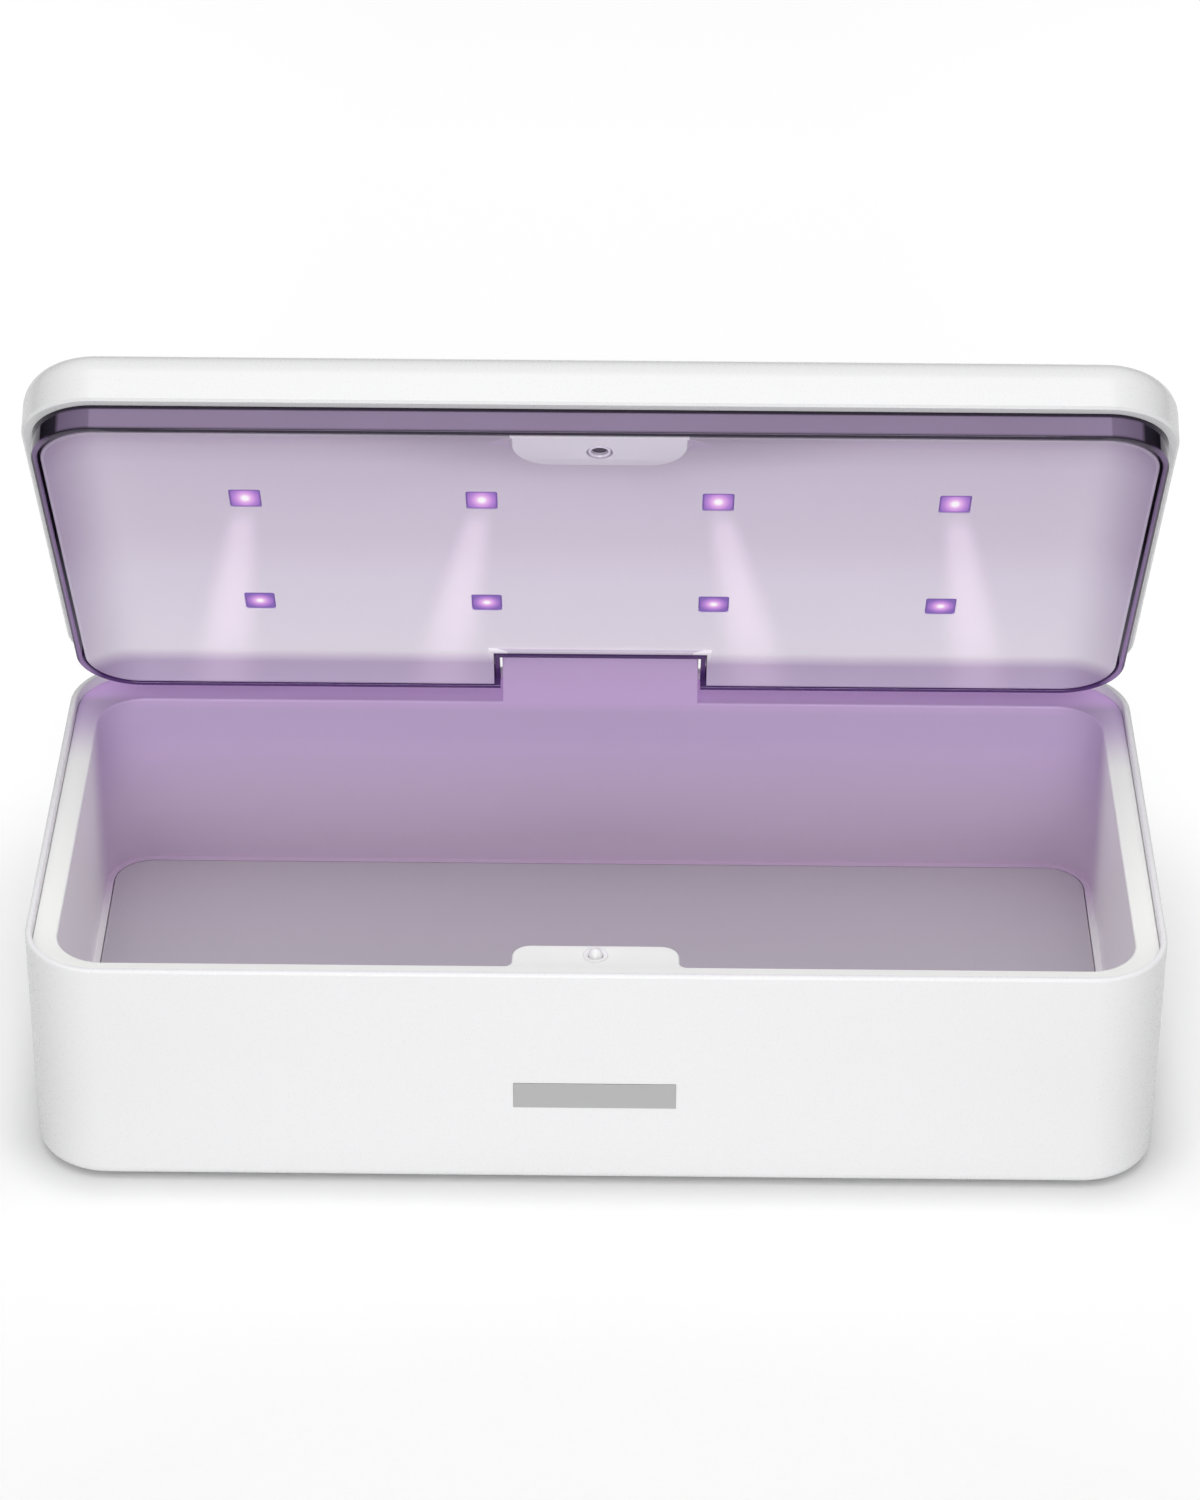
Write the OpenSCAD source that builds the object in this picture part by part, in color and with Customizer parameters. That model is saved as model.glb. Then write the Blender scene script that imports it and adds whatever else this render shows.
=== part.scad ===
// Ultraviolet sanitizer box for a phone: a white plastic base with a lined cavity and a hinged
// lid that carries eight ultraviolet lamps. Front faces -Y, up is +Z, and the origin is the
// middle of the face that rests on the table. The lid is drawn open, as it stands in use.

/* [Base] */
// Overall width of the box
body_w = 214; // [180:1:260]
// Overall depth of the box
body_d = 110; // [95:1:140]
// Height of the base's rim above the table
base_h = 48.5; // [40:0.5:70]
// Radius of the four corners, seen from above
corner_r = 14.5; // [11:0.5:20]
// Thickness of the outer wall
base_wall = 2.2; // [1.8:0.1:3]
// Thickness of the outer shell's floor
base_floor = 2; // [1.6:0.1:2.2]
// Rounding of the bottom edge
bottom_r = 2.5; // [1:0.25:4]
// Thickness of the raised lip round the rim
lip_wall = 1.3; // [1:0.1:1.6]
// Thickness of the non-slip pad under the base
pad_t = 0.8; // [0.5:0.1:1]

/* [Cavity] */
// Distance from the outside to the cavity at the sides
side_inset = 5.9; // [5:0.1:9]
// Distance from the outside to the cavity at the front
front_inset = 6; // [5.4:0.1:9]
// Distance from the outside to the cavity at the back
back_inset = 10.9; // [10.4:0.1:12]
// Corner radius of the cavity
cavity_r = 9.2; // [5:0.2:14]
// Height of the cavity's floor above the table
cavity_floor = 8.2; // [8:0.1:14]
// Depth of the flat ledge below the rim
ledge_drop = 2; // [1.8:0.1:3]
// Wall of the inner liner
liner_wall = 1.6; // [1.2:0.1:2]
// Thickness of the liner's ledge
ledge_t = 1.6; // [1.4:0.1:2.4]
// Strip of liner between the wall and the floor plate
plate_edge = 1.6; // [1:0.1:4]
// Thickness of the floor plate
plate_t = 1.6; // [1:0.1:2]

/* [Lid] */
// Gap between the rim and the lid's shell when shut, filled by the smoked ring
lid_gap = 3.8; // [3.4:0.1:4.6]
// Height of the lid's shell
lid_h = 11.7; // [10:0.1:16]
// Rounding of the lid's top edge
lid_edge_r = 6; // [3:0.25:7.5]
// Wall of the lid's shell
lid_wall = 2; // [1.2:0.1:2.2]
// Thickness of the lid's top
lid_top = 2; // [1.6:0.1:2.4]
// Angle at which the lid stands open
lid_open = 57.7; // [20:0.1:75]

/* [Smoked ring] */
// Thickness of the ring
ring_t = 1.2; // [1:0.1:1.8]
// How far the ring reaches below the lid's shell
ring_drop = 4.9; // [4.2:0.1:5]
// Length of the ring inside the shell
ring_seat = 3; // [2:0.1:4]
// Thickness of the ring where it goes round the hinge
notch_wall = 1; // [0.8:0.1:1.2]

/* [Lid panel] */
// Thickness of the panel
panel_t = 1.6; // [1.4:0.1:2]
// Depth of the panel's shallow tray
tray_depth = 2.9; // [1.5:0.1:3.1]
// Width of the sloping edge of the tray
tray_slope = 9; // [4:0.5:10]
// Seam between the panel and the ring
panel_seam = 0.6; // [0.2:0.05:0.8]

/* [Hinge] */
// Distance from the back of the box to the hinge's axis
axis_back = 4.5; // [4.2:0.1:5]
// Height of the hinge's axis above the rim
axis_up = 6.6; // [6.5:0.1:7]
// Width of the hinge tower
tower_w = 39.5; // [36:0.5:60]
// Height of the tower's top above the hinge's axis, and radius of its barrel
tower_top = 5.15; // [4.6:0.05:5.3]
// Rounding of the tower's top front edge
tower_round = 3; // [0.6:0.1:3.4]
// Gap between the notch and the tower's front corner as it swings past
notch_gap = 0.45; // [0.35:0.05:5]
// Height of the low rim round the notch
notch_rim = 0.8; // [0.4:0.1:1.2]
// Diameter of the hinge pins
pin_d = 3; // [2.6:0.1:3.2]
// Outer diameter of the bushes in the tower
bush_d = 5; // [4.6:0.1:5.6]
// Length of each bush
bush_l = 13; // [8:0.5:14]

/* [Lamps] */
// Number of lamps in a row
lamps = 4; // [2:1:4]
// Distance between lamps along a row
lamp_pitch = 44.6; // [36:0.2:46]
// Distance between the two rows
row_pitch = 42.1; // [30:0.1:44]
// How far the rows' middle lies in front of the box's middle
lamp_forward = 0.3; // [0:0.1:4]
// Width of a lamp's window
window_w = 6; // [5:0.1:8]
// Depth of a lamp's window, front to back
window_d = 6.9; // [5:0.1:9]

/* [Lid sensor] */
// Width of the boss in the middle of the front ledge
boss_w = 31.3; // [24:0.1:40]
// How far the boss reaches into the cavity
boss_d = 6.8; // [5.5:0.1:9]
// Diameter of the sensing plunger
plunger_d = 2.6; // [2:0.1:3]
// How far the plunger stands above the ledge
plunger_out = 1.5; // [1:0.1:2]
// Travel of the plunger
plunger_travel = 1; // [0.6:0.1:1.4]
// Distance from the front of the box to the plunger's axis
plunger_in = 9.5; // [9:0.1:10]

/* [Start button] */
// Diameter of the button's cap
button_d = 14; // [10:0.5:18]
// Travel of the button
button_travel = 0.6; // [0.3:0.1:0.8]
// Distance from the front of the box to the button's middle
button_in = 21; // [18:0.5:34]
// Width of the light ring round the button
glow_w = 2; // [1.4:0.1:3]

/* [Badge] */
// Width of the plain badge on the front
badge_w = 30.5; // [20:0.5:60]
// Height of the badge
badge_h = 5.5; // [3:0.1:10]
// Height of the badge's middle above the table
badge_z = 21; // [14:0.5:30]

/* [Electronics] */
// Width of the main board
board_w = 64; // [50:1:70]
// Height of the main board
board_h = 26; // [22:1:28]
// Thickness of the circuit boards
board_t = 1.2; // [1:0.1:1.6]
// Distance from the right side of the box to the power inlet
inlet_in = 45; // [40:1:60]
// Height of the power inlet above the table
inlet_z = 14; // [13:0.5:20]
// Diameter of the held leads
lead_d = 1.4; // [1:0.1:1.6]

/* [Hidden] */
$fn = 64;

// Small clearances: a running gap between bodies, a fit between fixed pieces, a pin in its bore
run_gap = 0.45;
body_gap = 0.3;
fit_gap = 0.05;
pin_fit = 0.03;
thread_fit = 0.02;
bend_fit = 0.1;
cut = 1;

// Heights in the base
floor_top = pad_t + base_floor;
ledge_z = base_h - ledge_drop;
shelf_z = ledge_z - ledge_t;
liner_floor = plate_t + 1.6;
liner_z = cavity_floor - liner_floor;
seam = 0.25;

// The cavity's edges
cavity_front = front_inset - body_d / 2;
cavity_back = body_d / 2 - back_inset;
cavity_w = body_w - 2 * side_inset;
cavity_d = cavity_back - cavity_front;
cavity_y = (cavity_front + cavity_back) / 2;
boss_r = 3.5;
boss_fillet = 1.5;
boss_back = cavity_front + boss_d;

// The hinge's axis, and heights in the shut lid
axis_y = body_d / 2 - axis_back;
axis_z = base_h + axis_up;
lid_z = base_h + lid_gap;
lid_top_z = lid_z + lid_h;
lid_in = lid_top_z - lid_top;
ring_end = lid_z - ring_drop;
ring_inset = lid_wall + fit_gap;
panel_inset = ring_inset + ring_t + panel_seam;
panel_rim = ring_end + 0.1;
panel_face = panel_rim + tray_depth;
panel_back = panel_face + panel_t;

// The tower, the notch that clears it, and the ears beside the notch
tower_front = cavity_back - axis_y;
tower_rise = 0.2;
corner_y = tower_front + tower_round;
corner_z = tower_top - tower_round;
notch_y = axis_y - length([corner_y, corner_z, 0]) - tower_round - notch_gap;
notch_half = tower_w / 2 + run_gap;
panel_notch = notch_wall + 0.25;
notch_rim_w = 0.9;
curtain_end = panel_face - notch_rim - 0.1;
window_half = notch_half + notch_wall + 0.2;
ear_x = window_half + 0.3;
ear_w = 5.2;
ear_r = pin_d / 2 + 0.9;
curtain_y = axis_y - ear_r - 0.6;

// Screws: shank, head and head height, and the posts and fixings they use
screw_d = 2;
screw_head = 3.6;
screw_head_t = 1.2;
post_d = 6;
base_screw_x = body_w / 2 - 26;
base_screw_y = cavity_d / 2 - 16;
base_screw_tip = cavity_floor - plate_t - 0.4;
lid_post_x = body_w / 2 - 13;
lid_post_front = 16 - body_d / 2;
lid_post_back = body_d / 2 - 22;
lid_peg_d = 2.4;
lid_peg_l = 4;

// The lamps
lamp_y = -lamp_forward;
lamp_size = 3.5;
lamp_t = 1.2;
pane_t = 0.8;
pane_lip = 1;
lamp_gap = 0.4;
strip_w = lamp_pitch * (lamps - 1) + 26;
strip_d = 13;
strip_z = panel_back + lamp_gap + lamp_t;
strip_screw_x = lamp_pitch * (lamps - 1) / 2 + 9;

// The sensing plunger, its guide, spring and switch
plunger_y = plunger_in - body_d / 2;
guide_d = 4.9;
guide_rim = 0.2;
collar_d = 4;
well_d = collar_d + 0.7;
collar_t = 1;
collar_z = shelf_z - 0.2 - collar_t;
spring_l = 4;
switch_w = 12.8;
switch_d = 5.8;
switch_h = 6.5;
switch_z = collar_z - spring_l - switch_h;
tip_d = 1.4;
tip_in = 1;
catch_r = 1.55;
catch_wall = 0.65;
catch_face = ring_end + 0.1;

// The start button, its light ring, switch and board
button_y = button_in - body_d / 2;
button_proud = 0.4;
button_flange = 0.9;
button_gap = body_gap;
glow_d = button_d + 2 * button_gap + 2 * glow_w;
stem_d = 4;
tact_w = 6;
tact_h = 3.2;
actuator_d = 3.3;
glow_z = lid_in + 0.8;
button_bottom = glow_z - body_gap - button_flange;
button_board_z = button_bottom - button_travel - body_gap - tact_h - board_t;
button_board_w = 28;
button_board_d = 16;

// The main board stands against the liner's back wall
inlet_x = body_w / 2 - inlet_in;
board_x = inlet_x;
board_stand = 1;
board_y = cavity_back + liner_wall + board_stand;
board_face = board_y + board_t;
board_z = floor_top + 3.2;
board_hole = 3.5;
inlet_w = 8.9;
inlet_h = 3.2;
inlet_mouth = body_d / 2 - 0.5;

// Plug headers on the main board, for the lid's lead and the switch's lead
plug = 5;
lid_plug_x = board_x - board_w / 2 + 3.5;
lid_plug_z = board_z + board_h - 12;
switch_plug_x = board_x - 15.5;
switch_plug_z = board_z + 2.5;

// The leads' routes: up the tower into the hollow pin, and under the liner to the switch
lead_x = 5;
lead_way = pin_d + 2 * body_gap;
lead_join = 14;
plug_y = board_face + plug / 2;
upper_lane = (board_z + board_h + shelf_z) / 2;
under_lane = (floor_top + liner_z) / 2;
lid_lane_x = ear_x + ear_w + 10;
lid_lane_z = strip_z + board_t + lead_d / 2 + 0.2;
base_lead_route = [
    [lid_plug_x + plug / 2, plug_y, lid_plug_z + plug],
    [lid_plug_x + plug / 2, plug_y, upper_lane],
    [lead_x, axis_y, upper_lane],
    [lead_x, axis_y, axis_z],
    [lead_join, axis_y, axis_z]
];
lid_lead_route = [
    [lead_join + body_gap, axis_y, axis_z],
    [ear_x + ear_w + 4, axis_y, axis_z],
    [lid_lane_x, axis_y - 9, lid_lane_z + 1],
    [lid_lane_x, lamp_y + row_pitch / 2, lid_lane_z],
    [lid_lane_x, lamp_y - row_pitch / 2, lid_lane_z],
    [button_board_w / 2 - 2, button_y + button_board_d / 2 - 3, button_board_z + board_t + lead_d / 2 + 0.2]
];
switch_lead_route = [
    [2.5, plunger_y, switch_z],
    [2.5, plunger_y, under_lane],
    [2.5, plug_y, under_lane],
    [switch_plug_x + plug / 2, plug_y, under_lane],
    [switch_plug_x + plug / 2, plug_y, switch_plug_z]
];

function length(v) = sqrt(v[0] * v[0] + v[1] * v[1] + v[2] * v[2]);

// A rectangle with true round corners
module rounded(w, d, r) {
    square([w - 2 * r, d], center = true);
    square([w, d - 2 * r], center = true);
    for (x = [-1, 1], y = [-1, 1]) {
        translate([x * (w / 2 - r), y * (d / 2 - r)]) circle(r);
    }
}

// The box's outline from above, set in by a distance
module outline(inset) {
    rounded(body_w - 2 * inset, body_d - 2 * inset, corner_r - inset);
}

// A block on the outline whose upper edge falls by drop over a run, in one arc
module eased(inset, h, run, drop) {
    w = body_w - 2 * inset;
    d = body_d - 2 * inset;
    r = corner_r - inset;
    linear_extrude(h - drop) outline(inset);
    linear_extrude(h) outline(inset + run);
    translate([0, 0, h - drop]) {
        for (x = [-1, 1], y = [-1, 1]) {
            translate([x * (w / 2 - r), y * (d / 2 - r), 0]) {
                rotate_extrude() edge_profile(r - run, run, drop);
            }
        }
        for (turn = [0, 180]) rotate(turn) {
            translate([w / 2 - run, d / 2 - r, 0]) {
                rotate([90, 0, 0]) linear_extrude(d - 2 * r) edge_profile(0, run, drop);
            }
            translate([r - w / 2, d / 2 - run, 0]) {
                rotate([90, 0, 90]) linear_extrude(w - 2 * r) edge_profile(0, run, drop);
            }
        }
    }
}

// Half section of the eased edge: flat in the middle, then an arc that falls by drop
module edge_profile(flat, run, drop) {
    arc = (run * run + drop * drop) / (2 * drop);
    if (flat > 0) square([flat, drop]);
    intersection() {
        translate([flat, drop - arc]) circle(arc);
        translate([flat, 0]) square([run, drop]);
    }
}

// The boss in the cavity's front wall, grown by g, with round corners
module boss_plan(g) {
    w = boss_w + 2 * g;
    r = boss_r + g;
    translate([-w / 2, cavity_front - cut]) square([w, boss_d + g + cut - r]);
    translate([r - w / 2, cavity_front - cut]) square([w - 2 * r, boss_d + g + cut]);
    for (x = [-1, 1]) translate([x * (w / 2 - r), boss_back + g - r]) circle(r);
}

// The cavity from above: a round-cornered rectangle less the boss and its root fillets
module cavity_plan() {
    difference() {
        translate([0, cavity_y]) rounded(cavity_w, cavity_d, cavity_r);
        boss_plan(0);
        for (x = [-1, 1]) {
            translate([x * (boss_w / 2 + boss_fillet), cavity_front + boss_fillet]) {
                difference() {
                    translate([-x * boss_fillet / 2, -boss_fillet / 2]) {
                        square(boss_fillet, center = true);
                    }
                    circle(boss_fillet);
                }
            }
        }
    }
}

// Turns a piece of the shut lid to where the open lid holds it
module on_lid() {
    translate([0, axis_y, axis_z]) {
        rotate([-lid_open, 0, 0]) translate([0, -axis_y, -axis_z]) children();
    }
}

// A cylinder along X
module rod(x0, x1, d) {
    translate([x0, 0, 0]) rotate([0, 90, 0]) cylinder(d = d, h = x1 - x0);
}

// A round lead through a list of points, with ball bends
module lead(route, d) {
    for (i = [0 : len(route) - 2]) {
        v = route[i + 1] - route[i];
        translate(route[i]) {
            rotate([0, acos(v[2] / length(v)), atan2(v[1], v[0])]) {
                cylinder(d = d, h = length(v));
                if (i > 0) sphere(d = d + bend_fit);
            }
        }
    }
}

// A pan-head screw that points along -Z, head seated at z = 0
module screw(shank) {
    difference() {
        cylinder(d = screw_head, h = screw_head_t);
        translate([0, 0, screw_head_t - 0.6]) cylinder(d = 1.8, h = cut, $fn = 6);
    }
    translate([0, 0, -shank]) cylinder(d = screw_d, h = shank + 0.1);
}

// Places its child at each of the four screws under the base
module at_base_screws() {
    for (x = [-1, 1], y = [-1, 1]) {
        translate([x * base_screw_x, cavity_y + y * base_screw_y, 0]) children();
    }
}

// Places its child at each of the four posts inside the lid
module at_lid_posts() {
    for (x = [-1, 1], y = [lid_post_front, lid_post_back]) {
        translate([x * lid_post_x, y, 0]) children();
    }
}

// Places its child at each lamp, in the plan of the shut lid
module at_lamps() {
    for (i = [0 : lamps - 1], row = [-1, 1]) {
        translate([(i - (lamps - 1) / 2) * lamp_pitch, lamp_y + row * row_pitch / 2, 0]) {
            children();
        }
    }
}

// Places its child at each screw of the two lamp strips
module at_strip_screws() {
    for (x = [-1, 1], row = [-1, 1]) {
        translate([x * strip_screw_x, lamp_y + row * row_pitch / 2, 0]) children();
    }
}

// Places its child at each corner screw of the main board, pointing along +Y
module at_board_screws(y) {
    for (x = [-1, 1], z = [board_hole, board_h - board_hole]) {
        translate([board_x + x * (board_w / 2 - board_hole), y, board_z + z]) {
            rotate([-90, 0, 0]) children();
        }
    }
}

// Outer tub of the base: rounded bottom edge, raised lip, shelf for the liner
module base_shell() color("white") {
    rim_h = base_h - pad_t;
    difference() {
        translate([0, 0, base_h]) mirror([0, 0, 1]) eased(0, rim_h, bottom_r, bottom_r);
        translate([0, 0, floor_top]) linear_extrude(rim_h) outline(base_wall);
        translate([0, 0, shelf_z]) linear_extrude(rim_h) outline(lip_wall);
        at_base_screws() {
            translate([0, 0, pad_t - cut]) cylinder(d = screw_d + 0.2, h = base_floor + 2 * cut);
            translate([0, 0, pad_t - cut]) cylinder(d = screw_head + 0.4, h = 1.2 + cut);
        }
        translate([inlet_x, inlet_mouth - base_wall, inlet_z]) rotate([-90, 0, 0]) {
            linear_extrude(2 * base_wall) slot(inlet_w + 0.5, inlet_h + 0.5);
        }
        translate([0, -body_d / 2, badge_z]) {
            cube([badge_w + 0.1, 1.2, badge_h + 0.1], center = true);
        }
    }
}

// A slot with round ends, lying along X
module slot(w, h) {
    square([w - h, h], center = true);
    for (x = [-1, 1]) translate([x * (w - h) / 2, 0]) circle(d = h);
}

// Non-slip pad stuck under the base, over the screws
module base_pad() color("dimgray") {
    linear_extrude(pad_t) outline(bottom_r + 2);
}

// Four screws that hold the liner down to the outer tub
module base_screws() color("silver") {
    seat = pad_t + screw_head_t;
    at_base_screws() translate([0, 0, seat]) mirror([0, 0, 1]) screw(base_screw_tip - seat);
}

// Inner tub: cavity, ledge, sensor boss and the hinge tower in one moulding
module inner_liner() color("white") {
    difference() {
        union() {
            translate([0, cavity_y, liner_z]) linear_extrude(ledge_z - liner_z) {
                rounded(cavity_w + 2 * liner_wall, cavity_d + 2 * liner_wall, cavity_r + liner_wall);
            }
            translate([0, 0, shelf_z]) linear_extrude(ledge_t) outline(lip_wall + seam);
            tower();
            at_base_screws() translate([0, 0, floor_top]) {
                cylinder(d = post_d, h = base_screw_tip - floor_top);
            }
            at_board_screws(cavity_back + liner_wall - 0.1) cylinder(d = 5, h = board_stand + 0.1);
        }
        translate([0, 0, cavity_floor]) linear_extrude(base_h) cavity_plan();
        translate([0, 0, cavity_floor - plate_t]) linear_extrude(base_h) plate_plan(0.25);
        sensor_pocket();
        tower_bores();
        at_base_screws() translate([0, 0, floor_top - cut]) {
            cylinder(d = screw_d + thread_fit, h = base_screw_tip - floor_top + cut + 0.1);
        }
        at_board_screws(cavity_back + liner_wall - 0.4) cylinder(d = screw_d + thread_fit, h = 4);
        translate([0, plunger_y, shelf_z - cut]) {
            cylinder(d = guide_d - 1 + 2 * fit_gap, h = 2 * ledge_t + cut);
        }
        translate([0, plunger_y, switch_z]) cylinder(d = well_d, h = shelf_z - switch_z);
    }
}

// Outline of the floor plate, widened by g
module plate_plan(g) {
    inset = plate_edge - g;
    difference() {
        translate([0, cavity_y]) {
            rounded(cavity_w - 2 * inset, cavity_d - 2 * inset, cavity_r - inset);
        }
        boss_plan(inset);
    }
}

// The space behind the boss, open to the front, for the plunger and its switch
module sensor_pocket() {
    depth = boss_d - liner_wall;
    translate([0, 0, liner_z - cut]) linear_extrude(shelf_z - liner_z + cut) {
        difference() {
            boss_plan(-liner_wall);
            translate([-boss_w, boss_back - liner_wall]) square([2 * boss_w, cut]);
        }
        translate([liner_wall - boss_w / 2, cavity_front - liner_wall - cut]) {
            square([boss_w - 2 * liner_wall, depth]);
        }
    }
}

// Hinge tower: flush with the cavity's back wall, with a round barrel about the axis
module tower() {
    translate([-tower_w / 2, axis_y, axis_z]) rotate([90, 0, 90]) linear_extrude(tower_w) {
        inner_back = axis_back - lip_wall - 2 * seam;
        translate([tower_front, shelf_z - axis_z]) {
            square([inner_back - tower_front, corner_z - shelf_z + axis_z]);
        }
        translate([corner_y, 0]) square([-corner_y, tower_top]);
        translate([corner_y, corner_z]) circle(tower_round);
        intersection() {
            circle(tower_top);
            translate([-tower_top, -tower_top]) square([tower_top + axis_back, 2 * tower_top]);
        }
        translate([0, tower_rise - axis_up]) square([axis_back, axis_up - tower_rise]);
    }
}

// Bores for the two bushes, and the way up for the lead
module tower_bores() {
    translate([0, axis_y, axis_z]) {
        rod(-tower_w / 2 - cut, bush_l - tower_w / 2, bush_d);
        rod(tower_w / 2 - bush_l, tower_w / 2 + cut, bush_d);
        rod(lead_x - lead_way / 2, tower_w / 2, lead_way);
    }
    translate([lead_x, axis_y, shelf_z - cut]) cylinder(d = lead_way, h = axis_z - shelf_z + cut);
}

// Loose floor plate of the cavity
module floor_plate() color("gainsboro") {
    translate([0, 0, cavity_floor - plate_t]) linear_extrude(plate_t) plate_plan(0);
}

// Plain grey badge let into the front wall
module front_badge() color("darkgray") {
    translate([-badge_w / 2, -body_d / 2 - 0.15, badge_z - badge_h / 2]) cube([badge_w, 0.7, badge_h]);
}

// Sprung plunger with a domed top, a collar and a thin tip
module plunger() color("ivory") {
    top = ledge_z + plunger_out;
    r = plunger_d / 2;
    translate([0, plunger_y, 0]) {
        translate([0, 0, collar_z]) cylinder(d = plunger_d, h = top - r - collar_z);
        translate([0, 0, top - r]) sphere(r);
        translate([0, 0, collar_z]) cylinder(d = collar_d, h = collar_t);
        translate([0, 0, switch_z + switch_h - tip_in]) cylinder(d = tip_d, h = spring_l + tip_in + 0.1);
    }
}

// Guide bush for the plunger, with a thin rim that shows on the ledge
module plunger_guide() color("whitesmoke") {
    translate([0, plunger_y, shelf_z]) difference() {
        union() {
            cylinder(d = guide_d - 1, h = ledge_t + guide_rim);
            translate([0, 0, ledge_t]) cylinder(d = guide_d, h = guide_rim);
        }
        translate([0, 0, -cut]) cylinder(d = plunger_d + 2 * fit_gap, h = 2 * ledge_t + cut);
    }
}

// Return spring under the plunger's collar, one unbroken tube
module plunger_spring() color("silver") {
    turns = 5;
    steps = 8;
    sides = 6;
    wire = 0.35;
    coil_r = 1.6;
    rise = spring_l - wire - 0.1;
    rings = turns * steps;
    points = [
        for (i = [0 : rings], j = [0 : sides - 1])
            let (a = 360 * i / steps, b = 360 * j / sides, q = coil_r + wire / 2 * cos(b))
                [q * cos(a), q * sin(a), rise * i / rings + wire / 2 * sin(b)]
    ];
    walls = [
        for (i = [0 : rings - 1], j = [0 : sides - 1])
            let (p = i * sides + j, q = i * sides + (j + 1) % sides)
                each [[p, p + sides, q + sides], [p, q + sides, q]]
    ];
    first = [for (j = [1 : sides - 2]) [0, j, j + 1]];
    base = rings * sides;
    last = [for (j = [1 : sides - 2]) [base, base + j + 1, base + j]];
    translate([0, plunger_y, switch_z + switch_h + wire / 2 + 0.05]) {
        polyhedron(points = points, faces = concat(walls, first, last));
    }
}

// Small snap switch that the plunger works, with a hole for the plunger's tip
module lid_switch() color("black") {
    difference() {
        union() {
            translate([-switch_w / 2, boss_back - liner_wall - switch_d - fit_gap, switch_z]) {
                cube([switch_w, switch_d, switch_h]);
            }
            for (x = [-5, 0, 5]) translate([x - 0.4, plunger_y - 0.8, switch_z - 2]) cube([0.8, 1.6, 2.1]);
        }
        translate([0, plunger_y, switch_z + switch_h - tip_in - plunger_travel - 0.4]) {
            cylinder(d = tip_d + 2 * body_gap, h = switch_h);
        }
        for (x = [-1, 1]) translate([x * 4.8, boss_back, switch_z + 2]) {
            rotate([90, 0, 0]) cylinder(d = screw_d + 0.2, h = 20);
        }
    }
}

// Two screws that hold the snap switch to the boss
module switch_screws() color("silver") {
    for (x = [-1, 1]) {
        translate([x * 4.8, boss_back - liner_wall - switch_d - fit_gap, switch_z + 2]) {
            rotate([90, 0, 0]) screw(switch_d);
        }
    }
}

// Lead from the snap switch, under the liner, to the main board
module switch_lead() color("dimgray") {
    lead(switch_lead_route, lead_d);
}

// Main circuit board, upright behind the cavity
module main_board() color("darkgreen") {
    difference() {
        translate([board_x - board_w / 2, board_y, board_z]) cube([board_w, board_t, board_h]);
        at_board_screws(board_y - cut) cylinder(d = screw_d + 0.2, h = board_t + 2 * cut);
    }
}

// Controller, coil, capacitors and plug headers on the main board
module board_parts() color("black") {
    left = board_x - board_w / 2;
    translate([left + 20, board_face, board_z + 15]) cube([7, 1.2, 7]);
    translate([left + 46, board_face, board_z + 15]) cube([6, 3, 6]);
    translate([lid_plug_x, board_face, lid_plug_z]) cube(plug - 0.2);
    translate([switch_plug_x, board_face, switch_plug_z]) cube(plug - 0.2);
    for (x = [34, 41]) {
        translate([left + x, board_face, board_z + 18]) rotate([-90, 0, 0]) cylinder(d = 5, h = 4.4);
    }
}

// Sounder that beeps when a cycle ends
module buzzer() color("dimgray") {
    translate([board_x - board_w / 2 + 13, board_face, board_z + 13]) rotate([-90, 0, 0]) {
        difference() {
            cylinder(d = 9, h = 4);
            translate([0, 0, 3.5]) cylinder(d = 1.6, h = cut);
        }
    }
}

// Four screws that hold the main board
module board_screws() color("silver") {
    at_board_screws(board_face) screw(board_t + board_stand - 0.2);
}

// Metal shell of the power inlet in the back wall
module power_inlet() color("silver") {
    translate([inlet_x, board_face, inlet_z]) rotate([-90, 0, 0]) difference() {
        linear_extrude(inlet_mouth - board_face) slot(inlet_w, inlet_h);
        translate([0, 0, 1]) linear_extrude(20) slot(inlet_w - 0.6, inlet_h - 0.6);
    }
}

// Contact tongue inside the inlet
module inlet_tongue() color("black") {
    translate([inlet_x - 3.3, board_face + 1, inlet_z - 0.35]) cube([6.6, 5, 0.7]);
}

// Friction bush that grips the steel pin and holds the lid at any angle
module friction_bush() color("goldenrod") {
    bush(-tower_w / 2);
}

// Plain bush for the hollow pin
module lead_bush() color("goldenrod") {
    bush(tower_w / 2 - bush_l);
}

// A bush that starts at x, running on a hinge pin
module bush(x) {
    translate([0, axis_y, axis_z]) difference() {
        rod(x, x + bush_l, bush_d - 2 * pin_fit);
        rod(x - cut, x + bush_l + cut, pin_d + 2 * pin_fit);
    }
}

// Lead from the main board up the tower to the middle of the hollow pin
module base_lead() color("dimgray") {
    lead(base_lead_route, lead_d);
}

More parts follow.
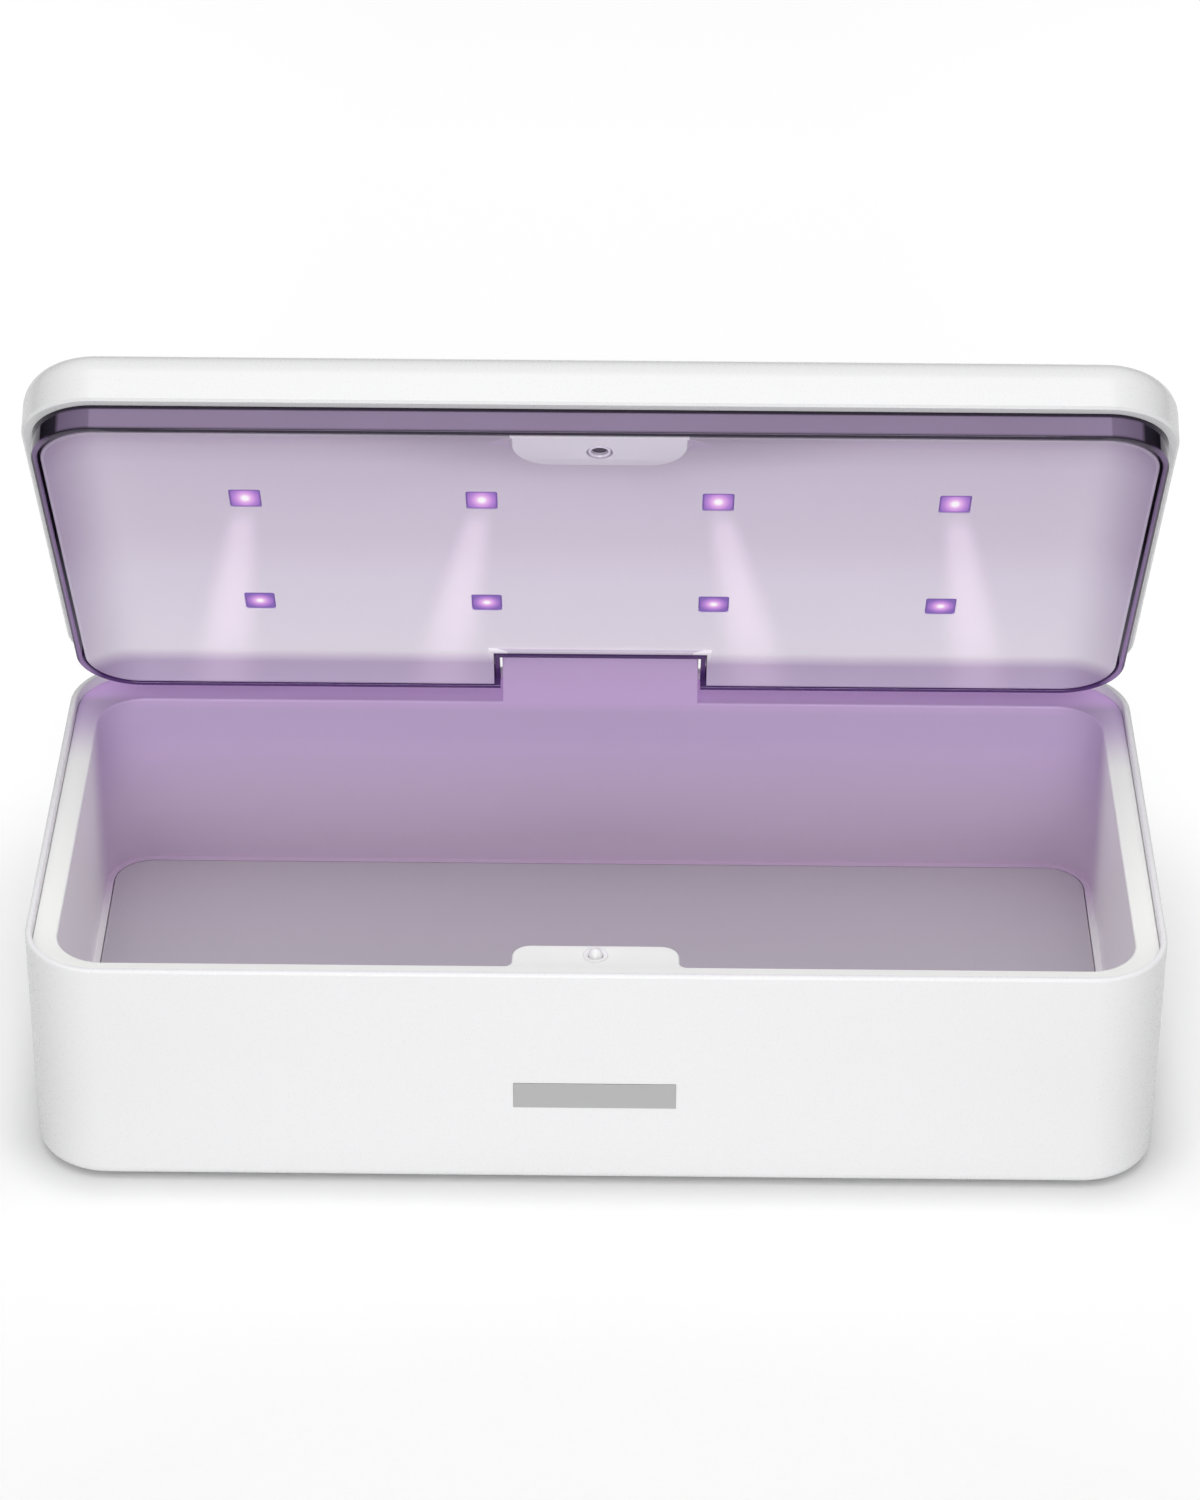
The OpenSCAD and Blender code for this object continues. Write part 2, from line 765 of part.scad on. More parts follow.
// Outer shell of the lid, with the window for the tower, hinge ears and posts
module lid_shell() color("white") on_lid() {
    difference() {
        union() {
            difference() {
                translate([0, 0, lid_z]) eased(0, lid_h, lid_edge_r, lid_edge_r);
                lid_hollow();
                translate([-window_half, axis_y, lid_z - cut]) {
                    cube([2 * window_half, body_d, lid_in - lid_z + cut]);
                }
                translate([0, axis_y, axis_z]) {
                    rod(-window_half, window_half, 2 * (tower_top + body_gap));
                }
            }
            ears();
            at_lid_posts() translate([0, 0, panel_back]) {
                cylinder(d = post_d, h = lid_in - panel_back + 0.1);
            }
            button_posts();
        }
        for (x = [-1, 1]) translate([0, axis_y, axis_z]) {
            rod(x * (ear_x + ear_w / 2) - ear_w, x * (ear_x + ear_w / 2) + ear_w, pin_d + 2 * pin_fit);
        }
        at_lid_posts() translate([0, 0, panel_back]) cylinder(d = lid_peg_d + 0.1, h = lid_peg_l + 1);
        translate([0, button_y, lid_in - cut]) {
            cylinder(d = glow_d - 1.6, h = 20);
            translate([0, 0, cut + glow_z - lid_in]) cylinder(d = glow_d + 2 * fit_gap, h = 20);
        }
        at_button_screws() translate([0, 0, button_board_z]) {
            cylinder(d = screw_d + thread_fit, h = board_t + 4.1);
        }
    }
}

// The hollow inside the lid's shell
module lid_hollow() {
    inner_r = max(lid_edge_r - lid_wall, 1);
    translate([0, 0, lid_z - cut]) eased(lid_wall, lid_in - lid_z + cut, inner_r, inner_r);
}

// Ears that hold the outer ends of the hinge pins
module ears() {
    for (side = [0, 1]) mirror([side, 0, 0]) translate([0, axis_y, axis_z]) {
        rod(ear_x, ear_x + ear_w, 2 * ear_r);
        translate([ear_x, -ear_r, 0]) cube([ear_w, 2 * ear_r, lid_in - axis_z + 0.1]);
    }
}

// Places its child at the two screws of the button's board
module at_button_screws() {
    for (x = [-1, 1]) translate([x * (button_board_w / 2 - 2.6), button_y, 0]) children();
}

// Posts that the button's board hangs from
module button_posts() {
    at_button_screws() translate([0, 0, button_board_z + board_t]) {
        cylinder(d = 4.6, h = lid_in - button_board_z - board_t + 0.1);
    }
}

// Smoked ring that hangs below the lid's shell, with a curtain round the hinge notch
module smoked_ring() color("indigo") on_lid() {
    translate([0, 0, ring_end]) linear_extrude(ring_drop) difference() {
        outline(ring_inset);
        outline(ring_inset + ring_t);
        notch_plan(0);
    }
    translate([0, 0, curtain_end]) linear_extrude(lid_z - curtain_end) intersection() {
        outline(ring_inset);
        curtain_plan();
    }
    translate([0, 0, lid_z - 0.1]) linear_extrude(ring_seat + 0.1) difference() {
        outline(ring_inset);
        outline(ring_inset + ring_t);
        translate([-ear_x - ear_w - 0.5, notch_y]) square([2 * (ear_x + ear_w + 0.5), body_d]);
    }
    translate([0, 0, lid_z - 0.1]) linear_extrude(lid_in - lid_z) difference() {
        curtain_plan();
        translate([-notch_half - 2 * notch_wall, curtain_y]) square([4 * notch_half, body_d]);
    }
}

// The curtain from above: a thin wall round three sides of the notch
module curtain_plan() {
    difference() {
        notch_plan(notch_wall);
        notch_plan(0);
    }
}

// The notch from above, widened
module notch_plan(widen) {
    translate([-notch_half - widen, notch_y - widen]) square([2 * (notch_half + widen), body_d]);
}

// Inner panel of the lid: a shallow tray with lamp windows and the catch boss
module lid_panel() color("white") on_lid() {
    difference() {
        union() {
            difference() {
                translate([0, 0, panel_rim]) linear_extrude(panel_back - panel_rim) difference() {
                    outline(panel_inset);
                    notch_plan(panel_notch);
                }
                tray();
            }
            translate([0, 0, panel_face - notch_rim]) linear_extrude(notch_rim + 0.1) intersection() {
                outline(panel_inset);
                difference() {
                    notch_plan(panel_notch + notch_rim_w);
                    notch_plan(panel_notch);
                }
            }
            catch_boss();
            at_lid_posts() translate([0, 0, panel_back - 0.1]) cylinder(d = lid_peg_d, h = lid_peg_l);
            at_strip_screws() translate([0, 0, panel_back - 0.1]) {
                cylinder(d = 4, h = lamp_gap + lamp_t + 0.1);
            }
        }
        at_lamps() {
            translate([0, 0, panel_face - cut]) linear_extrude(panel_t + 2 * cut) {
                rounded(window_w, window_d, 0.5);
            }
            translate([0, 0, panel_back - pane_t]) linear_extrude(pane_t + cut) {
                rounded(window_w + 2 * pane_lip + 0.1, window_d + 2 * pane_lip + 0.1, 0.5);
            }
        }
        at_strip_screws() translate([0, 0, panel_back - 0.8]) cylinder(d = screw_d + thread_fit, h = 10);
        translate([0, plunger_y, catch_face - cut]) {
            cylinder(r = catch_r + catch_wall + fit_gap, h = panel_back - catch_face + 2 * cut);
        }
    }
}

// The shallow hollow of the panel, with softly rising sides
module tray() {
    rim = 0.6;
    run = min(tray_slope, corner_r - panel_inset - rim - 0.5);
    translate([0, 0, panel_rim - cut]) eased(panel_inset + rim, tray_depth + cut, run, tray_depth);
}

// Flat boss at the panel's free edge that carries the catch ring
module catch_boss() {
    w = 26;
    d = 10.5;
    r = 4;
    translate([0, panel_inset - body_d / 2, catch_face]) {
        linear_extrude(panel_back - catch_face) {
            translate([-w / 2, 0]) square([w, d - r]);
            translate([r - w / 2, 0]) square([w - 2 * r, d]);
            for (x = [-1, 1]) translate([x * (w / 2 - r), d - r]) circle(r);
        }
    }
}

// Clear panes over the eight lamps, let into the back of the panel
module lamp_windows() color("plum") on_lid() {
    at_lamps() translate([0, 0, panel_back - pane_t]) linear_extrude(pane_t) {
        rounded(window_w + 2 * pane_lip, window_d + 2 * pane_lip, 0.5);
    }
}

// Two metal-cored strips that carry the lamps
module lamp_boards() color("lightgray") on_lid() {
    for (row = [-1, 1]) translate([0, lamp_y + row * row_pitch / 2, strip_z]) difference() {
        linear_extrude(board_t) rounded(strip_w, strip_d, 1);
        for (x = [-1, 1]) translate([x * strip_screw_x, 0, -cut]) cylinder(d = screw_d + 0.2, h = 9);
    }
}

// Eight ultraviolet lamps: a square ceramic cup with a round lens
module uv_lamps() color("violet") on_lid() {
    at_lamps() translate([0, 0, strip_z]) mirror([0, 0, 1]) {
        translate([-lamp_size / 2, -lamp_size / 2, 0]) cube([lamp_size, lamp_size, lamp_t - 0.4]);
        cylinder(d = lamp_size - 0.6, h = lamp_t);
    }
}

// Screws that hold the lamp strips to the panel
module lamp_board_screws() color("silver") on_lid() {
    at_strip_screws() translate([0, 0, strip_z + board_t]) screw(board_t + lamp_gap + lamp_t + 0.6);
}

// Collar in the panel's boss that the plunger's dome stands in
module catch_ring() color("thistle") on_lid() {
    translate([0, plunger_y, catch_face]) difference() {
        cylinder(r = catch_r + catch_wall, h = panel_back - catch_face);
        translate([0, 0, -cut]) cylinder(r = catch_r, h = 20);
    }
}

// Steel pin deep in the collar that meets the plunger
module catch_pin() color("dimgray") on_lid() {
    low = ledge_z + plunger_out + body_gap;
    translate([0, plunger_y, low]) cylinder(r = catch_r - fit_gap, h = panel_back - low);
}

// Steel hinge pin, fixed in the left ear
module hinge_pin() color("silver") on_lid() {
    translate([0, axis_y, axis_z]) rod(-ear_x - ear_w, bush_l - tower_w / 2 - body_gap, pin_d);
}

// Hollow hinge pin, fixed in the right ear, for the lead
module hinge_tube() color("silver") on_lid() {
    translate([0, axis_y, axis_z]) difference() {
        rod(tower_w / 2 - bush_l, ear_x + ear_w, pin_d);
        rod(0, ear_x + ear_w + cut, lead_d + 0.5);
    }
}

// Lead from the hollow pin to the two lamp strips
module lid_lead() color("dimgray") on_lid() {
    lead(lid_lead_route, lead_d);
}

// Round start button with a dished top and a flange under the light ring
module start_button() color("white") on_lid() {
    dish_r = 60;
    top = lid_top_z + button_proud;
    translate([0, button_y, 0]) difference() {
        union() {
            translate([0, 0, button_bottom]) cylinder(d = button_d, h = top - button_bottom);
            translate([0, 0, button_bottom]) cylinder(d = glow_d - 2.4, h = button_flange);
        }
        translate([0, 0, top + dish_r - 0.3]) sphere(dish_r, $fn = 200);
        translate([0, 0, button_bottom - cut]) difference() {
            cylinder(d = button_d - 2.4, h = cut + 1.4);
            cylinder(d = stem_d, h = cut + 1.4);
        }
    }
}

// Body of the small key switch under the start button
module button_switch() color("dimgray") on_lid() {
    translate([0, button_y, button_board_z + board_t]) difference() {
        translate([-tact_w / 2, -tact_w / 2, 0]) cube([tact_w, tact_w, tact_h]);
        translate([0, 0, tact_h - 1 - button_travel - 0.2]) cylinder(d = actuator_d + 2 * body_gap, h = 9);
    }
}

// Moving key of that switch, between its body and the button
module switch_actuator() color("black") on_lid() {
    low = button_board_z + board_t + tact_h - 1;
    translate([0, button_y, low]) cylinder(d = actuator_d, h = button_bottom - low);
}

// Circuit board under the start button
module button_board() color("darkgreen") on_lid() {
    translate([0, button_y, button_board_z]) difference() {
        linear_extrude(board_t) rounded(button_board_w, button_board_d, 1.5);
        for (x = [-1, 1]) translate([x * (button_board_w / 2 - 2.6), 0, -cut]) {
            cylinder(d = screw_d + 0.2, h = 9);
        }
    }
}

// Two screws that hold the button's board to the lid
module button_board_screws() color("silver") on_lid() {
    at_button_screws() translate([0, 0, button_board_z]) mirror([0, 0, 1]) {
        screw(board_t + 4);
    }
}

// Translucent ring round the start button, let into the lid
module light_ring() color("lavender") on_lid() {
    translate([0, button_y, glow_z]) difference() {
        cylinder(d = glow_d, h = lid_top_z - glow_z);
        translate([0, 0, -cut]) cylinder(d = button_d + 2 * button_gap, h = 9);
    }
}

base_shell();
base_pad();
base_screws();
inner_liner();
floor_plate();
front_badge();
plunger();
plunger_guide();
plunger_spring();
lid_switch();
switch_screws();
switch_lead();
main_board();
board_parts();
buzzer();
board_screws();
power_inlet();
inlet_tongue();
friction_bush();
lead_bush();
base_lead();
lid_shell();
smoked_ring();
lid_panel();
lamp_windows();
lamp_boards();
uv_lamps();
lamp_board_screws();
catch_ring();
catch_pin();
hinge_pin();
hinge_tube();
lid_lead();
start_button();
button_switch();
switch_actuator();
button_board();
button_board_screws();
light_ring();
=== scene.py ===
import math

import bmesh
import bpy
from mathutils import Matrix, Vector
from mathutils.geometry import tessellate_polygon


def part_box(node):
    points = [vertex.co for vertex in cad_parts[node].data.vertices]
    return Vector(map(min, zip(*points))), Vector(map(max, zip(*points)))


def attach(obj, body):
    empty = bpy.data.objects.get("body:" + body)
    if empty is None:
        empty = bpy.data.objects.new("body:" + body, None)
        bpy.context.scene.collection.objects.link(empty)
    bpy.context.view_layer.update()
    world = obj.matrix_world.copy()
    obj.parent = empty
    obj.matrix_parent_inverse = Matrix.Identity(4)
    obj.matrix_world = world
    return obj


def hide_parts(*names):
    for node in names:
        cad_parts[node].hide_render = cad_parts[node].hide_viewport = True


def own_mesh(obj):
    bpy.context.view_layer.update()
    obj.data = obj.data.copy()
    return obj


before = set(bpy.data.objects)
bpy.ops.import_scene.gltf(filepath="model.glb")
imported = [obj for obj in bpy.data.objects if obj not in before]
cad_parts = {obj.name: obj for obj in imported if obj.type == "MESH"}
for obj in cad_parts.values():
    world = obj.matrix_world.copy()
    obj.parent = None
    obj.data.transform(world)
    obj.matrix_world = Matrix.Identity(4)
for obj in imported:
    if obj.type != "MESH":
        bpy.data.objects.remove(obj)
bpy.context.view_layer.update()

# Camera
# One long lens in front of the box and well above it, slightly turned and rolled as in the
# photograph.
yaw, pitch, roll = (math.radians(a) for a in (-0.378, -33.154, 0.309))
look = Vector((math.sin(yaw) * math.cos(pitch), math.cos(yaw) * math.cos(pitch), math.sin(pitch)))
flat_right = Vector((math.cos(yaw), -math.sin(yaw), 0))
above = flat_right.cross(look)
right = flat_right * math.cos(roll) + above * math.sin(roll)
up = above * math.cos(roll) - flat_right * math.sin(roll)
lens = bpy.data.cameras.new("camera")
lens.lens = 111.68
lens.shift_y = 0.0449
lens.clip_end = 10
camera = bpy.data.objects.new("camera", lens)
camera.matrix_world = Matrix.Translation((0.005381, -0.75832, 0.54293)) @ Matrix(
    (right, up, -look)).transposed().to_4x4()
bpy.context.scene.collection.objects.link(camera)
bpy.context.scene.camera = camera
bpy.context.scene.view_settings.view_transform = "Standard"


# Ground and light
# A white sheet of paper that keeps the soft shadow under the box, with a painted shade round its
# foot, a dim white room that is brightest overhead, a large soft lamp above and one far in front.
def linear(code):
    """sRGB hex code to linear colour."""
    channels = [int(code[i:i + 2], 16) / 255 for i in (1, 3, 5)]
    return tuple(c / 12.92 if c <= 0.04045 else ((c + 0.055) / 1.055) ** 2.4
                 for c in channels) + (1.0,)


def add(tree, kind, inputs=None, **settings):
    """Adds a shader node. An input is a constant, or the socket or the node that feeds it. Of a
    node it takes the first output that is on. A colour is a hex code."""
    new = tree.nodes.new("ShaderNode" + kind)
    for key, value in settings.items():
        setattr(new, key, value)
    for key, value in (inputs or {}).items():
        if isinstance(value, str):
            value = linear(value)
        if isinstance(value, bpy.types.Node):
            value = next(socket for socket in value.outputs if socket.enabled)
        if isinstance(value, bpy.types.NodeSocket):
            tree.links.new(value, new.inputs[key])
        else:
            new.inputs[key].default_value = value
    return new


def start_material(name):
    """An empty material and its node tree."""
    new = bpy.data.materials.new(name)
    new.use_nodes = True
    new.node_tree.nodes.clear()
    return new, new.node_tree


MM = 0.001
SHARP = math.radians(32)


def mesh_object(name, bm, matrix=None):
    """Makes an object of a bmesh in millimetres, smooth but for its sharp edges."""
    bmesh.ops.remove_doubles(bm, verts=bm.verts, dist=1e-5)
    bmesh.ops.recalc_face_normals(bm, faces=bm.faces)
    bmesh.ops.scale(bm, vec=(MM, MM, MM), verts=bm.verts)
    mesh = bpy.data.meshes.new(name)
    bm.to_mesh(mesh)
    bm.free()
    mesh.shade_smooth()
    mesh.set_sharp_from_angle(angle=SHARP)
    new = bpy.data.objects.new(name, mesh)
    bpy.context.scene.collection.objects.link(new)
    if matrix:
        new.matrix_world = matrix
    return new


ground_mesh = bmesh.new()
ground_half = 1500
ground_corners = [ground_mesh.verts.new((x * ground_half, y * ground_half, 0))
                  for x, y in ((-1, -1), (1, -1), (1, 1), (-1, 1))]
ground_mesh.faces.new(ground_corners)
ground = mesh_object("ground", ground_mesh)
# Matt white paper: to the eye an even white without gloss. Its fibres, drawn 1.1 mm long and so
# coarser than real ones, barely mottle it. Where a camera, a mirror or glass sees it, it is
# lifted to the white of the picture's edge, and it keeps the shadow round the foot of the box,
# deepened there by a painted shade. The light that it throws on the box's sides is weaker than on
# the front.
fibre_size = 1.1
white_ground, tree = start_material("matt white paper")
where = add(tree, "TexCoord")
fibre = add(tree, "TexNoise",
            {"Vector": where.outputs["Object"], "Scale": 1000 / fibre_size, "Detail": 2.0})
tone = add(tree, "MapRange", {"Value": fibre, "To Min": 0.86, "To Max": 0.88})
from_front = add(tree, "VectorMath", {0: where.outputs["Object"], 1: (0, -0.25, 0)},
                 operation="DISTANCE")
beside = add(tree, "MapRange", {"Value": from_front, "From Min": 0.14, "From Max": 0.28,
                                "To Min": 1.14, "To Max": 1.29})
behind = add(tree, "MapRange", {"Value": from_front, "From Min": 0.28, "From Max": 0.66,
                                "To Min": 0.0, "To Max": 0.14})
whiter = add(tree, "Math", {0: beside, 1: behind}, operation="ADD")
mirrored_place = add(tree, "VectorMath", {0: where.outputs["Object"]}, operation="ABSOLUTE")
# A painted shade darkens the seen paper at the box's foot and fades out within about 10 mm of it.
beyond = add(tree, "VectorMath", {0: mirrored_place, 1: (0.0925, 0.0405, 0)}, operation="SUBTRACT")
past_foot = add(tree, "VectorMath", {0: beyond, 1: (0, 0, 0)}, operation="MAXIMUM")
foot = add(tree, "VectorMath", {0: past_foot}, operation="LENGTH")
painted_foot_shade = add(tree, "MapRange", {"Value": foot, "From Min": 0.0125, "From Max": 0.024,
                                 "To Min": 0.8, "To Max": 1.0}, interpolation_type="SMOOTHSTEP")
dulled = add(tree, "Math", {0: whiter, 1: painted_foot_shade}, operation="MULTIPLY")
ray = add(tree, "LightPath")
in_mirror = add(tree, "Math", {0: ray.outputs["Is Camera Ray"], 1: ray.outputs["Is Glossy Ray"]},
                operation="MAXIMUM")
in_view = add(tree, "Math", {0: in_mirror, 1: ray.outputs["Is Transmission Ray"]},
              operation="MAXIMUM")
sideways = add(tree, "SeparateXYZ", {0: mirrored_place})
darker = add(tree, "MapRange", {"Value": sideways.outputs["X"], "From Min": 0.10, "From Max": 0.14,
                                "To Min": 0.0, "To Max": -0.6})
nearby = add(tree, "MapRange", {"Value": foot, "From Min": 0.20, "From Max": 0.12})
bounce = add(tree, "Math", {0: darker, 1: nearby, 2: 1.0}, operation="MULTIPLY_ADD")
lift = add(tree, "Mix", {0: in_view, 2: bounce, 3: dulled})
paper = add(tree, "Math", {0: tone, 1: lift}, operation="MULTIPLY")
matt = add(tree, "BsdfDiffuse", {"Color": paper})
add(tree, "OutputMaterial", {"Surface": matt})
ground.data.materials.append(white_ground)

# The room's light is weak at the horizon and at both sides, so the box's corners darken softly.
world = bpy.data.worlds.new("white room")
world.use_nodes = True
tree = world.node_tree
tree.nodes.clear()
ray = add(tree, "LightPath")
height = add(tree, "TexCoord")
split = add(tree, "SeparateXYZ", {0: height.outputs["Generated"]})
rise = add(tree, "MapRange", {"Value": split.outputs["Z"], "To Min": 0.05, "To Max": 1.2})
flank = add(tree, "Math", {0: split.outputs["X"], 1: split.outputs["X"]}, operation="MULTIPLY")
dimmer = add(tree, "MapRange", {"Value": flank, "To Min": 1.0, "To Max": 0.25})
strength = add(tree, "Math", {0: rise, 1: dimmer}, operation="MULTIPLY")
room = add(tree, "Background", {"Color": (1, 1, 1, 1), "Strength": strength})
plain = add(tree, "Background", {"Color": (1, 1, 1, 1), "Strength": 1.0})
seen = add(tree, "MixShader", {0: ray.outputs["Is Camera Ray"], 1: room, 2: plain})
add(tree, "OutputWorld", {"Surface": seen})
bpy.context.scene.world = world


def soft_lamp(name, place, target, width, depth, power):
    """A rectangular white lamp at a place, aimed at a target, in metres and watts."""
    light = bpy.data.lights.new(name, "AREA")
    light.shape = "RECTANGLE"
    light.size, light.size_y = width, depth
    light.energy = power
    new = bpy.data.objects.new(name, light)
    new.location = place
    new.rotation_euler = (Vector(target) - Vector(place)).to_track_quat("-Z", "Y").to_euler()
    bpy.context.scene.collection.objects.link(new)
    return new


soft_lamp("overhead_lamp", (0, -0.10, 1.0), (0, 0, 0), width=0.6, depth=0.5, power=1.7)
soft_lamp("front_lamp", (0, -1.3, 0.35), (0, 0, 0.03), width=0.5, depth=0.3, power=5.6)


# Outer tub of the base
# The case that everything sits in, moulded of white ABS. It has a rounded bottom edge and a
# thin raised lip with a softly rounded top. The inlet's slot and the badge's recess are cut in.
W, D, RIM, CORNER = 214.0, 110.0, 48.5, 14.5


def arc(cx, cy, r, start, end, steps):
    """Points of an arc, by angle in degrees."""
    turns = [math.radians(start + (end - start) * i / steps) for i in range(steps + 1)]
    return [(cx + r * math.cos(a), cy + r * math.sin(a)) for a in turns]


def outline(inset, w=W, d=D, r=CORNER, cy=0.0, steps=16):
    """The box's round-cornered outline from above, set in by a distance."""
    x, y = w / 2 - r, d / 2 - r
    k = r - inset
    return (arc(x, cy - y, k, -90, 0, steps) + arc(x, cy + y, k, 0, 90, steps)
            + arc(-x, cy + y, k, 90, 180, steps) + arc(-x, cy - y, k, 180, 270, steps))


def place_loop(bm, points, z):
    return [bm.verts.new((x, y, z)) for x, y in points]


def bridge(bm, a, b):
    """Joins two loops of as many points with a band of quads."""
    for i in range(len(a)):
        j = (i + 1) % len(a)
        bm.faces.new((a[i], a[j], b[j], b[i]))


def plate(bm, *loops):
    """Fills a flat face: the first loop is its edge and the others are holes in it."""
    every = [v for one in loops for v in one]
    for triangle in tessellate_polygon([[v.co for v in one] for one in loops]):
        bm.faces.new([every[i] for i in triangle])


def turned(bm, profile, ends="caps"):
    """Bands between loops given as (points, height), with caps, open ends or closed to a ring."""
    loops = [place_loop(bm, points, z) for points, z in profile]
    for a, b in zip(loops, loops[1:]):
        bridge(bm, a, b)
    if ends == "caps":
        plate(bm, loops[0])
        plate(bm, loops[-1])
    if ends == "ring":
        bridge(bm, loops[-1], loops[0])
    return loops


def carved(target, cutters, operation="DIFFERENCE"):
    """Cuts or joins other objects into one, then removes them."""
    for cutter in cutters:
        step = target.modifiers.new("cut", "BOOLEAN")
        step.operation = operation
        step.solver = "EXACT"
        step.object = cutter
        graph = bpy.context.evaluated_depsgraph_get()
        made = bpy.data.meshes.new_from_object(target.evaluated_get(graph))
        target.modifiers.clear()
        target.data = made
        bpy.data.objects.remove(cutter)
    target.data.shade_smooth()
    target.data.set_sharp_from_angle(angle=SHARP)
    return target


def block(name, low, high, matrix=None):
    """A rectangular cutter between two corners."""
    bm = bmesh.new()
    (x0, y0, z0), (x1, y1, z1) = low, high
    turned(bm, [(((x0, y0), (x1, y0), (x1, y1), (x0, y1)), z) for z in (z0, z1)])
    return mesh_object(name, bm, matrix)


def round_cutter(name, place, r, length, axis="Z", matrix=None, steps=48):
    """A round cutter that starts at a place and runs along an axis."""
    bm = bmesh.new()
    turned(bm, [(arc(0, 0, r, 0, 360 - 360 / steps, steps - 1), z) for z in (0, length)])
    turn = {"Z": Matrix(), "X": Matrix.Rotation(math.pi / 2, 4, "Y"),
            "Y": Matrix.Rotation(-math.pi / 2, 4, "X")}[axis]
    bmesh.ops.transform(bm, matrix=Matrix.Translation(place) @ turn, verts=bm.verts)
    return mesh_object(name, bm, matrix)


def plastic(name, code, rough, grain=0.35, bump=0.03, coat=0.0):
    """Moulded plastic, whose mould grain is drawn coarser than real, by its size in mm."""
    new, tree = start_material(name)
    where = add(tree, "TexCoord")
    fine = add(tree, "TexNoise",
               {"Vector": where.outputs["Object"], "Scale": 1000 / grain, "Detail": 3.0})
    sheen = add(tree, "MapRange", {"Value": fine, "To Min": rough * 0.9, "To Max": rough * 1.1})
    relief = add(tree, "Bump", {"Height": fine, "Strength": bump, "Distance": 0.00002})
    skin = add(tree, "BsdfPrincipled", {"Base Color": code, "Roughness": sheen,
                                        "Normal": relief, "Coat Weight": coat,
                                        "Coat Roughness": 0.08})
    add(tree, "OutputMaterial", {"Surface": skin})
    return new


def paint(target, material):
    """Gives a piece or a CAD node one material."""
    target.data.materials.clear()
    target.data.materials.append(material)


bottom_r, pad = 2.5, 0.8
lip, wall, shelf, tub_floor = 1.3, 2.2, 44.9, 2.8
lip_out, lip_in = 0.6, 0.4
profile = [(outline(bottom_r - x), z) for x, z in arc(0, pad + bottom_r, bottom_r, 270, 360, 8)]
profile += [(outline(lip_out - x), z) for x, z in arc(0, RIM - lip_out, lip_out, 0, 90, 5)]
profile += [(outline(lip - lip_in - x), z) for x, z in arc(0, RIM - lip_in, lip_in, 90, 180, 4)]
profile += [(outline(lip), shelf), (outline(wall), shelf), (outline(wall), tub_floor)]
bm = bmesh.new()
turned(bm, profile)
tub = mesh_object("outer_tub", bm)
badge_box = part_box("front_badge")
inlet_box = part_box("power_inlet")
inlet_mid = [(a + b) / 2 / MM for a, b in zip(*inlet_box)]
slot_w, slot_h, slot_from, slot_to = 9.4, 3.7, D / 2 - 4, D / 2 + 2
slot_end = slot_h / 2
slot_plan = (arc(slot_w / 2 - slot_end, 0, slot_end, -90, 90, 12)
             + arc(slot_end - slot_w / 2, 0, slot_end, 90, 270, 12))
bm = bmesh.new()
turned(bm, [(slot_plan, z) for z in (0, slot_to - slot_from)])
bmesh.ops.transform(bm, matrix=Matrix.Translation((inlet_mid[0], slot_from, inlet_mid[2]))
                    @ Matrix.Rotation(-math.pi / 2, 4, "X"), verts=bm.verts)
inlet_slot = mesh_object("inlet_slot", bm)
badge_low, badge_high = (corner / MM for corner in badge_box)
badge_fit, badge_deep = 0.05, 0.6
recess = block("badge_recess", (badge_low.x - badge_fit, -D / 2 - 1, badge_low.z - badge_fit),
               (badge_high.x + badge_fit, -D / 2 + badge_deep, badge_high.z + badge_fit))
carved(tub, [inlet_slot, recess])
# White ABS from a smooth mould: an even white with a soft wide sheen under a faint clear one.
white_case = plastic("white case plastic, smooth", "#f3f3f4", 0.28, coat=0.15)
paint(tub, white_case)
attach(tub, "base")
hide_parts("base_shell")

# Inner tub
# One thin-walled moulding of white ABS, screwed down into the case: the flat ledge inside the
# lip, the cavity with its soft top edge, the boss for the plunger, and the hinge tower.
LEDGE, FLOOR = 46.5, 8.2
AXIS_Y, AXIS_Z = 50.5, 55.1
front_y, back_y, half_w = -49.0, 44.1, 101.1
cavity_r, boss_half, boss_y, boss_r, root_r = 9.2, 15.65, -42.2, 3.5, 1.5


def cavity(grow, steps=14):
    """The cavity's edge from above, with the boss in its front wall, widened by a distance."""
    x, near, far = half_w - cavity_r, front_y + cavity_r, back_y - cavity_r
    big, small, root = cavity_r + grow, boss_r - grow, root_r + grow
    bx, by = boss_half - boss_r, boss_y - boss_r
    rx, ry = boss_half + root_r, front_y + root_r
    return (arc(-rx, ry, root, -90, 0, 6) + arc(-bx, by, small, 180, 90, 8)
            + arc(bx, by, small, 90, 0, 8) + arc(rx, ry, root, 180, 270, 6)
            + arc(x, near, big, -90, 0, steps) + arc(x, far, big, 0, 90, steps)
            + arc(-x, far, big, 90, 180, steps) + arc(-x, near, big, 180, 270, steps))


bm = bmesh.new()
edge_r, liner_t, strip, seam, ledge_r = 0.45, 1.6, 1.35, 1.38, 0.2
under, tub_bottom, plate_seat = LEDGE - liner_t, 5.0, 6.6
rim = turned(bm, [(outline(seam + ledge_r - x), z)
                  for x, z in arc(0, LEDGE - ledge_r, ledge_r, 90, 0, 3)]
             + [(outline(seam), under)], "open")
inside = turned(bm, [(cavity(x), z) for x, z in arc(edge_r, LEDGE - edge_r, edge_r, 90, 180, 6)]
                + [(cavity(0), FLOOR), (cavity(-strip), FLOOR), (cavity(-strip), plate_seat)],
                "open")
outside = turned(bm, [(cavity(liner_t), under), (cavity(liner_t), tub_bottom)], "open")
plate(bm, rim[0], inside[0])
plate(bm, rim[-1], outside[0])
plate(bm, inside[-1])
plate(bm, outside[-1])
liner = mesh_object("inner_tub", bm)
